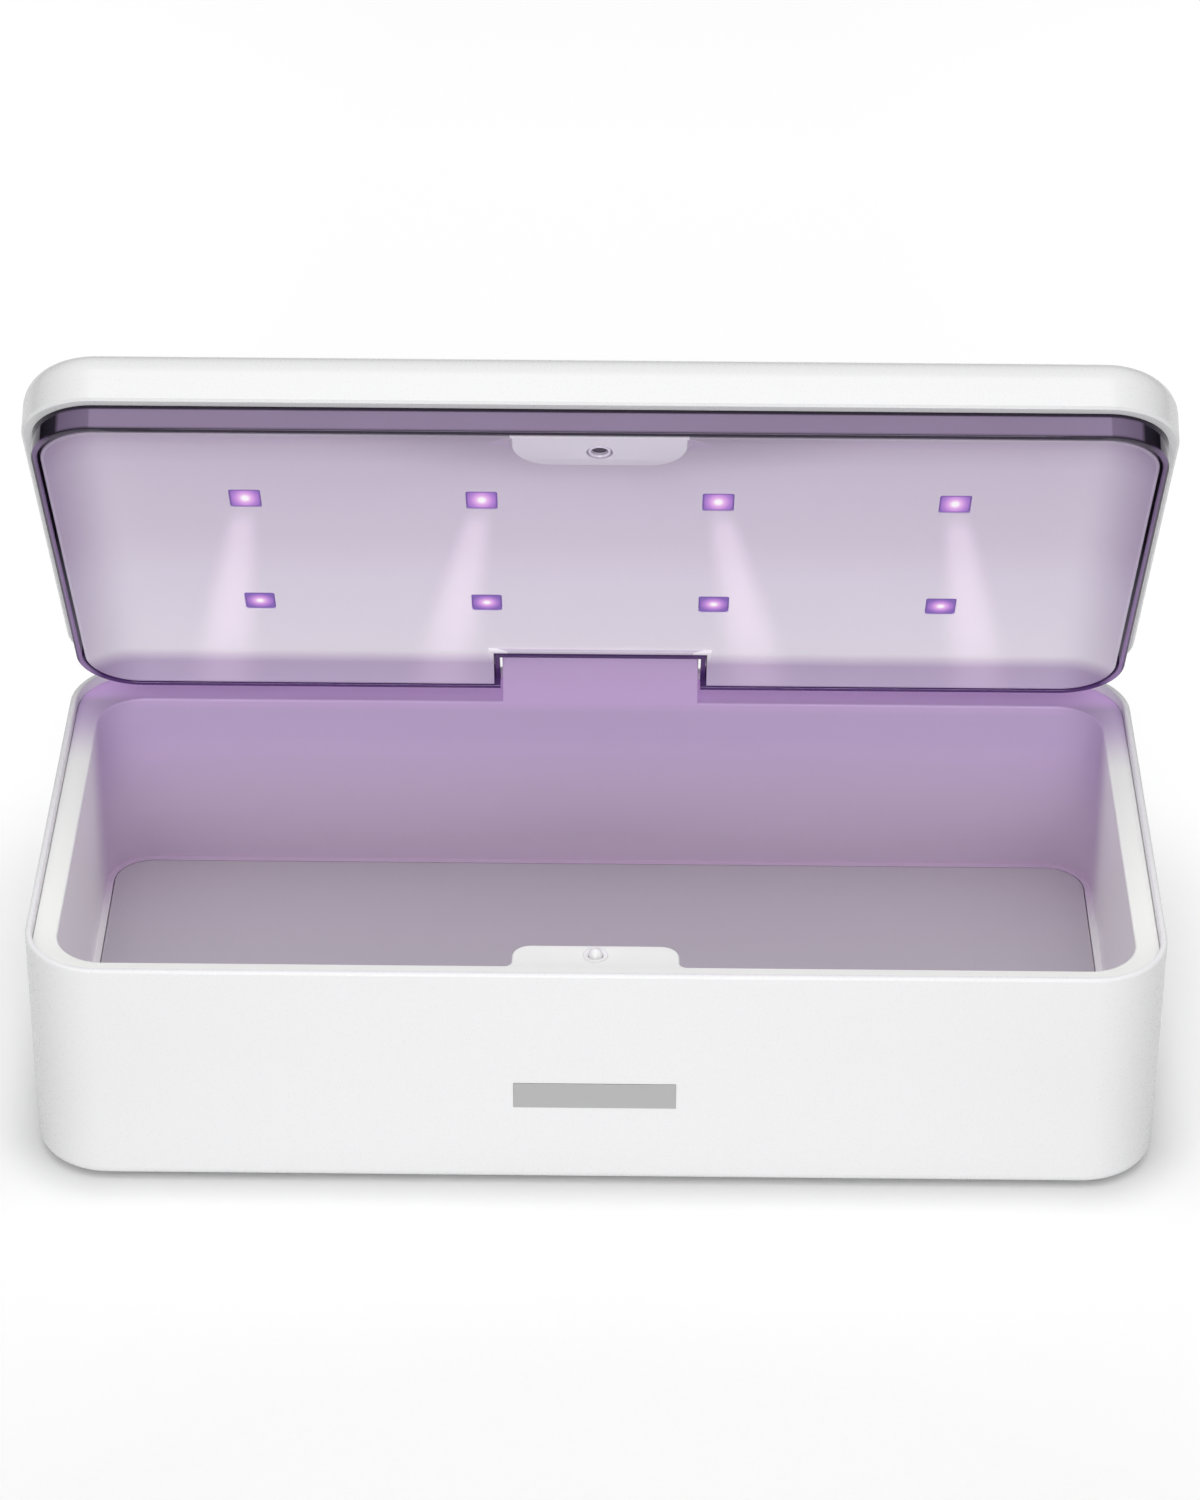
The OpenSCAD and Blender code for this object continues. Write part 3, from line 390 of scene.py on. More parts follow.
tower_half, tower_top, tower_round, tower_soft, back = 19.75, 5.15, 3.0, 0.35, D / 2 - AXIS_Y
front, tower_foot, tower_step, tower_lap = back_y - AXIS_Y, 45.2 - AXIS_Z, 48.7 - AXIS_Z, 1.8


def tower_side(k):
    """The tower from the side, about the hinge's axis, smaller by a distance."""
    flat_end = math.degrees(math.acos((back - k) / (tower_top - k)))
    return ([(front + k, tower_foot)]
            + arc(front + tower_round, tower_top - tower_round, tower_round - k, 180, 90, 10)
            + arc(0, 0, tower_top - k, 90, flat_end, 14)
            + [(back - k, tower_step), (back - tower_lap, tower_step),
               (back - tower_lap, tower_foot)])


shoulder = arc(tower_soft - tower_half, tower_soft, tower_soft, 180, 270, 3)
bm = bmesh.new()
turned(bm, [(tower_side(k), x) for x, k in shoulder]
       + [(tower_side(k), -x) for x, k in reversed(shoulder)])
bmesh.ops.transform(bm, matrix=Matrix.Translation((0, AXIS_Y, AXIS_Z)) @ Matrix(
    ((0, 0, 1, 0), (1, 0, 0, 0), (0, 1, 0, 0), (0, 0, 0, 1))), verts=bm.verts)
tower = mesh_object("tower", bm)
carved(liner, [tower], "UNION")
pin_y = -45.5
bush_r, bush_in, way_r, way_x, way_low = 2.5, 6.75, 1.8, 5.0, 43
bore_long = tower_half + 1 - bush_in
guide_hole_r, guide_hole_low, well_r, well_low = 2.0, 44, 2.35, 38
carved(liner, [
    round_cutter("left_bore", (-tower_half - 1, AXIS_Y, AXIS_Z), bush_r, bore_long, "X"),
    round_cutter("right_bore", (bush_in, AXIS_Y, AXIS_Z), bush_r, bore_long, "X"),
    round_cutter("cross_way", (way_x - way_r, AXIS_Y, AXIS_Z), way_r, 4, "X"),
    round_cutter("up_way", (way_x, AXIS_Y, way_low), way_r, AXIS_Z - way_low),
    round_cutter("guide_hole", (0, pin_y, guide_hole_low), guide_hole_r, 4),
    round_cutter("well", (0, pin_y, well_low), well_r, under - well_low),
])
# White ABS from a smooth mould: whiter and a little duller than the case. Toward the hinge the
# violet light of the lid's lamps is painted into it, most at the top of the back wall, and painted
# as a glow on the ledge there. The side walls are paler by a painted glow for the light between
# them. The tower's top and back, turned away from the lamps, stay white.
white_liner = plastic("white liner plastic, smooth", "#f7f7f8", 0.34, coat=0.1)
tree = white_liner.node_tree
split = add(tree, "SeparateXYZ", {0: add(tree, "TexCoord").outputs["Object"]})
near_hinge = add(tree, "MapRange", {"Value": split.outputs["Y"], "From Min": 0.018,
                                    "From Max": 0.041}, interpolation_type="SMOOTHSTEP")
up_wall = add(tree, "MapRange", {"Value": split.outputs["Z"], "From Min": 0.012, "From Max": 0.038})
violet = add(tree, "Mix", {0: up_wall, 6: "#e9d4ee", 7: "#ccb4dc"}, data_type="RGBA")
# What the lamps light of the tower: its front, but not its top and back.
below_tower = add(tree, "MapRange",
                  {"Value": split.outputs["Z"], "From Min": 0.0474, "From Max": 0.0468})
tower_front = add(tree, "MapRange",
                  {"Value": split.outputs["Y"], "From Min": 0.0500, "From Max": 0.0462})
in_light = add(tree, "Math", {0: below_tower, 1: tower_front}, operation="MAXIMUM")
tint_share = add(tree, "Math", {0: near_hinge, 1: in_light}, operation="MULTIPLY")
tinted = add(tree, "Mix", {0: tint_share, 6: "#fbfdf8", 7: violet}, data_type="RGBA")
# A painted glow of the lamps' light on the ledge behind the cavity.
behind_cavity = add(tree, "MapRange",
                    {"Value": split.outputs["Y"], "From Min": 0.043, "From Max": 0.046})
on_top = add(tree, "MapRange", {"Value": split.outputs["Z"], "From Min": 0.044, "From Max": 0.0464})
back_ledge = add(tree, "Math", {0: behind_cavity, 1: on_top}, operation="MULTIPLY")
ledge_share = add(tree, "Math", {0: back_ledge, 1: in_light}, operation="MULTIPLY")
painted_ledge_light = add(tree, "Mix", {0: ledge_share, 6: (0, 0, 0, 1), 7: "#6b4a78"}, data_type="RGBA")
# A painted glow for the light between the two side walls.
from_middle = add(tree, "Math", {0: split.outputs["X"]}, operation="ABSOLUTE")
side_wall = add(tree, "MapRange", {"Value": from_middle, "From Min": 0.099, "From Max": 0.1005})
below_top = add(tree, "MapRange",
                {"Value": split.outputs["Z"], "From Min": 0.0462, "From Max": 0.0452})
before_back = add(tree, "MapRange",
                  {"Value": split.outputs["Y"], "From Min": 0.035, "From Max": 0.012})
wall_part = add(tree, "Math", {0: side_wall, 1: below_top}, operation="MULTIPLY")
wall_share = add(tree, "Math", {0: wall_part, 1: before_back}, operation="MULTIPLY")
painted_glow = add(tree, "Mix", {0: wall_share, 6: painted_ledge_light, 7: "#413b44"}, data_type="RGBA")
skin = tree.nodes["Principled BSDF"]
skin.inputs["Emission Strength"].default_value = 1.0
tree.links.new(tinted.outputs[2], skin.inputs["Base Color"])
tree.links.new(painted_glow.outputs[2], skin.inputs["Emission Color"])
paint(liner, white_liner)
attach(liner, "base")
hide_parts("inner_liner")

# Floor of the cavity
# A loose plate of moulded ABS with a fine matt grain of 0.5 mm, laid in the tub. To the eye it
# is a dull pale grey, faintly lilac by painted lamp light, and a painted shade makes it darker at
# the front. The groove round it is its gap.
floor_plastic = plastic("pale grey floor plastic, fine matt", "#dcdbe0", 0.5, 0.5, 0.05)
tree = floor_plastic.node_tree
split = add(tree, "SeparateXYZ", {0: add(tree, "TexCoord").outputs["Object"]})
deep = add(tree, "MapRange", {"Value": split.outputs["Y"], "From Min": -0.045, "From Max": 0.03})
shaded = add(tree, "Mix", {0: deep, 6: "#b8b6ba", 7: "#d7d2d8"}, data_type="RGBA")
tree.links.new(shaded.outputs[2], tree.nodes["Principled BSDF"].inputs["Base Color"])
paint(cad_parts["floor_plate"], floor_plastic)

# Non-slip pad
# A soft dark sheet stuck under the box, over the screws. Silicone rubber with a pressed grain
# of 0.8 mm: to the eye a dull near-black without gloss.
paint(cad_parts["base_pad"], plastic("dark non-slip rubber, matt", "#2b2b2d", 0.85, 0.8, 0.3))

# Front badge
# A bare plate of lacquered aluminium, let into the front wall and glued. Its brushing runs
# across in strokes 8.3 mm long and 0.11 mm high, drawn coarser than real: to the eye a flat
# satin grey.
stroke_long, stroke_high = 25 / 3, 1 / 9
badge_metal, tree = start_material("satin grey metal, brushed across")
where = add(tree, "TexCoord")
stretch = add(tree, "Mapping", {
    "Vector": where.outputs["Object"],
    "Scale": (1000 / stroke_long, 1000 / stroke_long, 1000 / stroke_high)})
hair = add(tree, "TexNoise", {"Vector": stretch, "Scale": 1.0, "Detail": 4.0})
hair_sheen = add(tree, "MapRange", {"Value": hair, "To Min": 0.38, "To Max": 0.5})
skin = add(tree, "BsdfPrincipled", {"Base Color": "#b6b6b6", "Metallic": 0.3,
                                    "Roughness": hair_sheen})
add(tree, "OutputMaterial", {"Surface": skin})
paint(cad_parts["front_badge"], badge_metal)


# Plunger and its guide
# A small domed pin of acetal that the lid meets. It slides in a thin bush, pressed into the
# ledge, whose rolled rim shows as a fine ring.
def lathe(bm, profile, steps=48):
    """Turns (radius, height) points about the upright axis. A radius of 0 is a point."""
    rows = []
    for r, z in profile:
        circle = arc(0, 0, r, 0, 360 - 360 / steps, steps - 1)
        rows.append(place_loop(bm, circle if r else [(0, 0)], z))
    for a, b in zip(rows, rows[1:]):
        if len(a) == len(b):
            bridge(bm, a, b)
        else:
            tip, loop = (a[0], b) if len(a) == 1 else (b[0], a)
            for i in range(steps):
                bm.faces.new((tip, loop[i], loop[(i + 1) % steps]))
    return rows


def turned_piece(name, profile, place, matrix=None, ring=False):
    """A turned piece at a place. A ring's profile is closed on itself."""
    bm = bmesh.new()
    rows = lathe(bm, profile)
    if ring:
        bridge(bm, rows[-1], rows[0])
    bmesh.ops.translate(bm, vec=place, verts=bm.verts)
    return mesh_object(name, bm, matrix)


# Acetal from a polished mould: a clean white with a small sharp highlight.
gloss_white = plastic("glossy white plastic", "#f6f6f6", 0.12, coat=0.5)
guide_low, guide_r, guide_in, roll_r, roll_lift, roll_lap = 44.9, 1.95, 1.35, 0.28, 0.02, 0.2
guide = turned_piece(
    "guide_bush",
    [(guide_in, guide_low), (guide_r, guide_low), (guide_r, LEDGE)]
    + [(guide_r + x, z) for x, z in arc(roll_r / 2, LEDGE + roll_lift, roll_r, 0, 90, 4)]
    + [(guide_in + roll_lap, LEDGE + roll_lap / 2), (guide_in, LEDGE - roll_lap)],
    (0, pin_y, 0), ring=True)
paint(guide, gloss_white)
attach(guide, "base")
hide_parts("plunger_guide")
paint(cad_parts["plunger"], gloss_white)

# Outer shell of the lid
# A moulding of white ABS with a large even rounding, a small bevel at its lower edge, a window
# at the back for the tower, and two ears that hold the hinge pins.
lid_angle = math.radians(-57.7)
opened = (Matrix.Translation((0, AXIS_Y * MM, AXIS_Z * MM)) @ Matrix.Rotation(lid_angle, 4, "X")
          @ Matrix.Translation((0, -AXIS_Y * MM, -AXIS_Z * MM)))
LID, LID_TOP, lid_round, lid_wall, lid_roof, lid_bevel = 52.3, 64.0, 6.0, 2.0, 62.0, 0.45
inner_round = lid_round - lid_wall
profile = [(outline(lid_round - x), z)
           for x, z in arc(0, LID_TOP - lid_round, lid_round, 90, 0, 14)]
profile += [(outline(0), LID + lid_bevel), (outline(lid_bevel), LID), (outline(lid_wall), LID)]
profile += [(outline(lid_round - x), z)
            for x, z in arc(0, lid_roof - inner_round, inner_round, 0, 90, 8)]
bm = bmesh.new()
turned(bm, profile)
lid = mesh_object("lid_case", bm, opened)
window_half, ear_r, ear_in, ear_out = 21.4, 2.4, 21.7, 26.8
button_y, hole_r, ring_r, ring_fit, ring_low = -34.0, 8.5, 9.3, 0.05, 62.8
carved(lid, [
    block("tower_window", (-window_half, AXIS_Y, LID - 2),
          (window_half, D, lid_roof - 0.005), opened),
    round_cutter("button_hole", (0, button_y, lid_roof - 1), hole_r, 4, matrix=opened),
    round_cutter("light_ring_seat", (0, button_y, ring_low), ring_r + ring_fit, 3, matrix=opened),
])
for side in (-1, 1):
    start = ear_in if side > 0 else -ear_out
    carved(lid, [
        block("ear_web", (start, AXIS_Y - ear_r, AXIS_Z),
              (start + ear_out - ear_in, AXIS_Y + ear_r, lid_roof + 0.5), opened),
        round_cutter("ear", (start, AXIS_Y, AXIS_Z), ear_r, ear_out - ear_in, "X", opened),
    ], "UNION")
# The same white ABS as the case, painted a shade darker to offset the lamp's light that it faces.
lid_white_painted_darker = plastic("white lid plastic, smooth, painted darker", "#eaeaeb", 0.28, coat=0.15)
paint(lid, lid_white_painted_darker)
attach(lid, "lid")
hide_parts("lid_shell")

# Smoked ring
# A band of tinted clear acrylic below the lid's shell, moulded and polished. It turns in as a
# thin curtain round the notch that clears the tower.
ring_end, ring_inset, ring_t, ring_soft, ring_top = 47.4, 2.05, 1.2, 0.3, 55.3
inner_inset = ring_inset + ring_t
profile = [(outline(ring_inset), ring_top)]
profile += [(outline(ring_inset + ring_soft - x), z)
            for x, z in arc(0, ring_end + ring_soft, ring_soft, 0, -90, 4)]
profile += [(outline(inner_inset - ring_soft - x), z)
            for x, z in arc(0, ring_end + ring_soft, ring_soft, 270, 180, 4)]
profile += [(outline(inner_inset), ring_top)]
bm = bmesh.new()
turned(bm, profile, "ring")
ring = mesh_object("smoked_band", bm, opened)
notch_half, notch_y, seat_half = 20.2, 43.03, 27.4
curtain_t, curtain_end, curtain_y = 1.0, 49.5, 47.5
carved(ring, [
    block("notch_gap", (-notch_half, notch_y, 40), (notch_half, D, 70), opened),
    block("seat_gap", (-seat_half, notch_y, LID), (seat_half, D, 70), opened),
])
half = notch_half + curtain_t


def u_plan(y_end):
    """The curtain from above, round three sides of the notch."""
    return ((-half, notch_y - curtain_t), (half, notch_y - curtain_t), (half, y_end),
            (notch_half, y_end), (notch_half, notch_y), (-notch_half, notch_y),
            (-notch_half, y_end), (-half, y_end))


bm = bmesh.new()
turned(bm, [(u_plan(D / 2 - ring_inset), curtain_end), (u_plan(D / 2 - ring_inset), LID + 0.02)])
turned(bm, [(u_plan(curtain_y), LID - 0.02), (u_plan(curtain_y), lid_roof - 0.1)])
curtain = mesh_object("curtain", bm, opened)
# Smoked acrylic, polished: a near-black violet with sharp reflections. Painted lamp light makes it
# violet near the hinge, a painted reflection makes it mauve all along its front face but for a
# painted dark line of shade under the shell, and painted lamp light makes it paler in a stripe down
# the inner half of each side. Clouds 17 mm wide keep it uneven.
cloud_size = 50 / 3
smoked, tree = start_material("smoked violet plastic, polished")
where = add(tree, "TexCoord")
split = add(tree, "SeparateXYZ", {0: where.outputs["Object"]})
toward_hinge = add(tree, "MapRange",
                   {"Value": split.outputs["Y"], "From Min": 0.01, "From Max": 0.055})
cloud = add(tree, "TexNoise",
            {"Vector": where.outputs["Object"], "Scale": 1000 / cloud_size, "Detail": 2.0})
cloudy = add(tree, "MapRange", {"Value": cloud, "To Min": 0.9, "To Max": 1.1})
painted_hinge_light = add(tree, "Mix", {0: toward_hinge, 6: "#17121d", 7: "#5a3a78"}, data_type="RGBA")
# The painted mauve reflection on the front face, then the painted paler stripe on each side.
across = add(tree, "Math", {0: split.outputs["X"]}, operation="ABSOLUTE")
off_ends = add(tree, "MapRange", {"Value": across, "From Min": 0.0996, "From Max": 0.0988})
face = add(tree, "MapRange", {"Value": split.outputs["Z"], "From Min": 0.0476, "From Max": 0.0481})
fore = add(tree, "MapRange", {"Value": split.outputs["Y"], "From Min": -0.04, "From Max": -0.05})
upper_part = add(tree, "Math", {0: off_ends, 1: face}, operation="MULTIPLY")
# The painted dark line of shade under the shell, where the mauve stops.
under_shell = add(tree, "MapRange",
                  {"Value": split.outputs["Z"], "From Min": 0.0518, "From Max": 0.0514})
front_part = add(tree, "Math", {0: upper_part, 1: fore}, operation="MULTIPLY")
front_face = add(tree, "Math", {0: front_part, 1: under_shell}, operation="MULTIPLY")
inner_half = add(tree, "MapRange", {"Value": across, "From Min": 0.1046, "From Max": 0.1043})
at_side = add(tree, "MapRange", {"Value": across, "From Min": 0.1005, "From Max": 0.1030})
end_face = add(tree, "MapRange",
               {"Value": split.outputs["Z"], "From Min": 0.0480, "From Max": 0.0476})
stripe = add(tree, "Math", {0: inner_half, 1: end_face}, operation="MULTIPLY")
side_stripe = add(tree, "Math", {0: stripe, 1: at_side}, operation="MULTIPLY")
down_side = add(tree, "MapRange",
                {"Value": split.outputs["Y"], "From Min": -0.035, "From Max": 0.045})
painted_stripe_light = add(tree, "Mix", {0: down_side, 6: "#685279", 7: "#ab8fc0"}, data_type="RGBA")
striped = add(tree, "Mix", {0: side_stripe, 6: painted_hinge_light, 7: painted_stripe_light}, data_type="RGBA")
paler = add(tree, "Mix", {0: front_face, 6: striped, 7: "#6a5b75"}, data_type="RGBA")
shade = add(tree, "Mix", {0: 1.0, 6: paler, 7: cloudy}, data_type="RGBA", blend_type="MULTIPLY")
skin = add(tree, "BsdfPrincipled", {"Base Color": shade, "Roughness": 0.07, "IOR": 1.58,
                                    "Specular Tint": (0.85, 0.7, 1.0, 1.0)})
add(tree, "OutputMaterial", {"Surface": skin})
for piece in (ring, curtain):
    paint(piece, smoked)
    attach(piece, "lid")
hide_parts("smoked_ring")

# Lid panel
# The moulding of white ABS that closes the lid: a shallow tray whose edges rise in a wide soft
# curve, with windows for the eight lamps, the hinge notch, and the flared boss of the catch.
panel_inset, panel_rim, panel_face, panel_back, rim_w, rise_w = 3.85, 47.5, 50.4, 52.0, 0.6, 9.0
panel_soft, rise_h = 0.15, panel_face - panel_rim
sweep = (rise_w ** 2 + rise_h ** 2) / (2 * rise_h)
sweep_end = math.degrees(math.asin(rise_w / sweep))
flat_inset = panel_inset + rim_w + rise_w
profile = [(outline(panel_inset), panel_back), (outline(panel_inset), panel_rim + panel_soft),
           (outline(panel_inset + panel_soft), panel_rim)]
profile += [(outline(flat_inset + x), z)
            for x, z in arc(0, panel_face - sweep, sweep, 90 + sweep_end, 90, 14)]
bm = bmesh.new()
turned(bm, profile)
panel = mesh_object("lamp_panel", bm, opened)
boss_outer, boss_inner, boss_w, boss_round = -51.0, -40.55, 16.1, 7.1


def boss_plan(half_width, far, r):
    """The boss from above, with its two inner corners rounded."""
    return (((-half_width, boss_outer), (half_width, boss_outer))
            + tuple(arc(half_width - r, far - r, r, 0, 90, 12))
            + tuple(arc(r - half_width, far - r, r, 90, 180, 12)))


flare_steps, flare_side, flare_back, flare_corner = 8, 4.4, 1.3, 2.0
flare = [(boss_plan(boss_w - x, boss_inner - x, boss_round - x), panel_rim + z)
         for x, z in ((0.3, 0), (0.1, 0.08), (0, 0.25))]
for i in range(1, flare_steps + 1):
    u = i / flare_steps
    out_by = 1 - math.sqrt(1 - u * u)
    flare.append((boss_plan(boss_w + flare_side * out_by, boss_inner + flare_back * out_by,
                            boss_round + flare_corner * out_by),
                  panel_rim + 0.25 + (rise_h - 0.2) * u))
flare.append((flare[-1][0], panel_back - 0.5))
bm = bmesh.new()
turned(bm, flare)
boss = mesh_object("catch_boss", bm, opened)
notch_edge, notch_rim_w, notch_rim_h, notch_soft = 1.25, 0.9, 0.6, 0.25
reach = notch_half + notch_edge + notch_rim_w
rim_near, rim_far = notch_y - notch_edge - notch_rim_w, D / 2 - panel_inset - 0.3
rim_top = panel_face - notch_rim_h


def notch_rim_plan(grow):
    """The raised rim round the notch from above, widened by a distance."""
    return ((-reach - grow, rim_near - grow), (reach + grow, rim_near - grow),
            (reach + grow, rim_far), (-reach - grow, rim_far))


bm = bmesh.new()
turned(bm, [(notch_rim_plan(x), panel_face + z) for x, z in ((0.3, 0.2), (0.08, -0.1), (0, -0.3))]
       + [(notch_rim_plan(x - notch_soft), z)
          for x, z in arc(0, rim_top + notch_soft, notch_soft, 0, -90, 5)])
notch_rim = mesh_object("notch_rim", bm, opened)
carved(panel, [boss, notch_rim], "UNION")
lamp_pitch, row_pitch, row_mid = 44.6, 42.1, -0.3
window_w, window_d, window_r, pane_lip, pane_z = 6.0, 6.9, 0.5, 1.05, 51.2
lamp_places = [(lamp_pitch * (i - 1.5), row_mid + row * row_pitch / 2) for i in range(4)
               for row in (-1, 1)]


def window_plan(x, y, grow):
    """One lamp window from above, widened by a distance."""
    return [(x + a, y + b)
            for a, b in outline(0, window_w + 2 * grow, window_d + 2 * grow, window_r, steps=4)]


bm = bmesh.new()
for x, y in lamp_places:
    turned(bm, [(window_plan(x, y, grow), z) for grow, z in (
        (0, 48), (0, pane_z), (pane_lip, pane_z), (pane_lip, 54))])
windows = mesh_object("windows", bm, opened)
below_rim, catch_hole_r, catch_dish_r, catch_dish_h = 46, 2.25, 2.45, 1.0
carved(panel, [
    windows,
    block("hinge_notch", (-notch_half - notch_edge, notch_y - notch_edge, 40),
          (notch_half + notch_edge, D, 60), opened),
    round_cutter("catch_hole", (0, pin_y, below_rim), catch_hole_r, 8, matrix=opened),
    round_cutter("catch_dish", (0, pin_y, below_rim), catch_dish_r,
                 panel_rim + catch_dish_h - below_rim, matrix=opened),
])
# White ABS with a fine satin mould grain of 0.4 mm, with its own lamps' light painted in. To the
# eye it is lilac and darker by painted shade at the free edge and the sides, violet by painted
# light in the curve at the hinge and bright in between by a painted glow, with a painted soft beam
# of light from each lamp of the front row. The boss is painted paler on top and shaded down its
# sides.
panel_grain = 0.4
lilac, tree = start_material("white panel plastic, violet lamp light painted")
where = add(tree, "TexCoord")
split = add(tree, "SeparateXYZ", {0: where.outputs["Object"]})
px, py, pz = split.outputs["X"], split.outputs["Y"], split.outputs["Z"]
off_middle = add(tree, "Math", {0: px}, operation="ABSOLUTE")
along_panel = add(tree, "MapRange", {"Value": py, "From Min": -0.051, "From Max": 0.049})
# The painted lamp light along the panel: a colour, and a glow that it gives off.
tint = add(tree, "ValToRGB", {"Fac": along_panel})
glow = add(tree, "ValToRGB", {"Fac": along_panel})
for ramp, first, last, more in (
        (tint, "#b8acc2", "#d2bfe0", (
            (0.08, "#ccbed5"), (0.16, "#dcd1e5"), (0.44, "#ede2f4"), (0.63, "#efe7f4"),
            (0.935, "#efe9f3"))),
        (glow, "#000000", "#000000", (
            (0.44, "#000000"), (0.63, "#525259"), (0.925, "#757575")))):
    stops = ramp.color_ramp.elements
    stops[0].color = linear(first)
    stops[1].position, stops[1].color = 0.972, linear(last)
    for place, code in more:
        stops.new(place).color = linear(code)
# Painted shade toward the two sides.
side_edge = add(tree, "MapRange", {"Value": off_middle, "From Min": 0.090, "From Max": 0.106},
                interpolation_type="SMOOTHSTEP")
painted_edge_shade = add(tree, "Mix", {0: side_edge, 6: (1, 1, 1, 1), 7: "#c8bfce"}, data_type="RGBA")
shade_1 = add(tree, "Mix", {0: 1.0, 6: tint, 7: painted_edge_shade}, data_type="RGBA", blend_type="MULTIPLY")
# The painted soft shade on the panel round the boss, and the boss's own painted shade by its
# height.
centred = add(tree, "VectorMath", {0: where.outputs["Object"], 1: (0, -0.051, panel_face * MM)},
              operation="SUBTRACT")
squeezed = add(tree, "VectorMath", {0: centred, 1: (1 / 0.062, 1 / 0.024, 0)}, operation="MULTIPLY")
from_boss = add(tree, "VectorMath", {0: squeezed}, operation="LENGTH")
boss_shade = add(tree, "MapRange", {"Value": from_boss, "From Min": 0.35, "From Max": 1.0,
                                    "To Min": 0.78, "To Max": 1.0}, interpolation_type="SMOOTHSTEP")
shade_2 = add(tree, "Mix", {0: 1.0, 6: shade_1, 7: boss_shade}, data_type="RGBA",
              blend_type="MULTIPLY")
on_rise = add(tree, "MapRange", {"Value": pz, "From Min": 0.0504, "From Max": 0.0476})
sunk = add(tree, "Math", {0: 1.0, 1: on_rise}, operation="SUBTRACT")
flared = add(tree, "Math", {0: sunk, 1: 3.0}, operation="POWER")
boss_edge = add(tree, "Math", {0: flared, 1: 0.0046, 2: 0.0164}, operation="MULTIPLY_ADD")
on_boss = add(tree, "Math", {0: off_middle, 1: boss_edge}, operation="LESS_THAN")
painted_boss_shade = add(tree, "ValToRGB", {"Fac": on_rise})
stops = painted_boss_shade.color_ramp.elements
stops[0].position, stops[0].color = 0.06, linear("#bbacc6")
stops[1].position, stops[1].color = 0.97, linear("#e3dcea")
stops.new(0.5).color = linear("#cabed3")
off_panel = add(tree, "Math", {0: on_rise, 1: 0.01}, operation="GREATER_THAN")
boss_part = add(tree, "Math", {0: on_boss, 1: off_panel}, operation="MULTIPLY")
colour = add(tree, "Mix", {0: boss_part, 6: shade_2, 7: painted_boss_shade}, data_type="RGBA")
# The painted beams of light: one from each lamp of the front row, leaning and widening toward the
# hinge.
lean = add(tree, "Math", {0: py, 1: 0.13, 2: 0.0028}, operation="MULTIPLY_ADD")
shifted = add(tree, "Math", {0: off_middle, 1: lean}, operation="SUBTRACT")
cell = add(tree, "Math", {0: shifted, 1: lamp_pitch * MM, 2: 0.0}, operation="WRAP")
off_lean = add(tree, "Math", {0: cell, 1: lamp_pitch * MM / 2}, operation="SUBTRACT")
off_beam = add(tree, "Math", {0: off_lean}, operation="ABSOLUTE")
beam_width = add(tree, "MapRange", {"Value": py, "From Min": -0.02, "From Max": 0.05,
                                    "To Min": 0.0035, "To Max": 0.010})
near_beam = add(tree, "Math", {0: off_beam, 1: beam_width}, operation="DIVIDE")
soft_beam = add(tree, "MapRange", {"Value": near_beam, "To Min": 1.0, "To Max": 0.0},
           interpolation_type="SMOOTHERSTEP")
below_lamp = add(tree, "MapRange", {"Value": py, "From Min": -0.021, "From Max": -0.008},
                 interpolation_type="SMOOTHSTEP")
fades = add(tree, "MapRange",
            {"Value": py, "From Min": 0.030, "From Max": 0.052, "To Min": 1.0, "To Max": 0.35})
beam = add(tree, "Math", {0: soft_beam, 1: below_lamp}, operation="MULTIPLY")
streak = add(tree, "Math", {0: beam, 1: fades}, operation="MULTIPLY")
beams = add(tree, "Mix", {0: streak, 6: (0, 0, 0, 1), 7: "#70626c"}, data_type="RGBA")
all_light = add(tree, "Mix", {0: 1.0, 6: glow, 7: beams}, data_type="RGBA", blend_type="ADD")
fine = add(tree, "TexNoise",
           {"Vector": where.outputs["Object"], "Scale": 1000 / panel_grain, "Detail": 3.0})
relief = add(tree, "Bump", {"Height": fine, "Strength": 0.04, "Distance": 0.00002})
skin = add(tree, "BsdfPrincipled", {"Base Color": colour, "Roughness": 0.36, "Normal": relief,
                                    "Emission Color": all_light, "Emission Strength": 1.0})
add(tree, "OutputMaterial", {"Surface": skin})
paint(panel, lilac)
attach(panel, "lid")
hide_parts("lid_panel")

# Lamp windows and lamps
# A clear stepped pane fills each window, almost flush with the panel. The lamp's light behind it
# is painted on the pane as a hot white spot in a violet glow that deepens toward the pane's edge.
pane_fit, pane_front, pane_soft, pane_foot = 0.1, panel_face + 0.06, 0.14, pane_lip - 0.05
bm = bmesh.new()
for x, y in lamp_places:
    turned(bm, [(window_plan(x, y, grow), z) for grow, z in (
        (-pane_fit - pane_soft, pane_front), (-pane_fit, pane_front + pane_soft),
        (-pane_fit, pane_z), (pane_foot, pane_z), (pane_foot, panel_back))])
panes = mesh_object("lamp_panes", bm, opened)
# Clear acrylic over a lit lamp, whose light is painted on it as a glow: to the eye a hot white
# core in pink that deepens to violet at the pane's edge, ringed there by a painted dark line of
# shade, under a weak sharp sheen. The row by the catch is painted taller and brighter.
pane, tree = start_material("clear moulded plastic over a violet lamp")
where = add(tree, "TexCoord")
split = add(tree, "SeparateXYZ", {0: where.outputs["Object"]})
cell_x = add(tree, "Math", {0: split.outputs["X"], 1: lamp_pitch * MM, 2: 0.0}, operation="WRAP")
cell_y = add(tree, "Math", {0: split.outputs["Y"], 1: (row_mid + row_pitch) * MM, 2: row_mid * MM},
             operation="WRAP")
dx = add(tree, "Math", {0: cell_x, 1: lamp_pitch * MM / 2}, operation="SUBTRACT")
dy = add(tree, "Math", {0: cell_y, 1: (row_mid + row_pitch / 2) * MM}, operation="SUBTRACT")
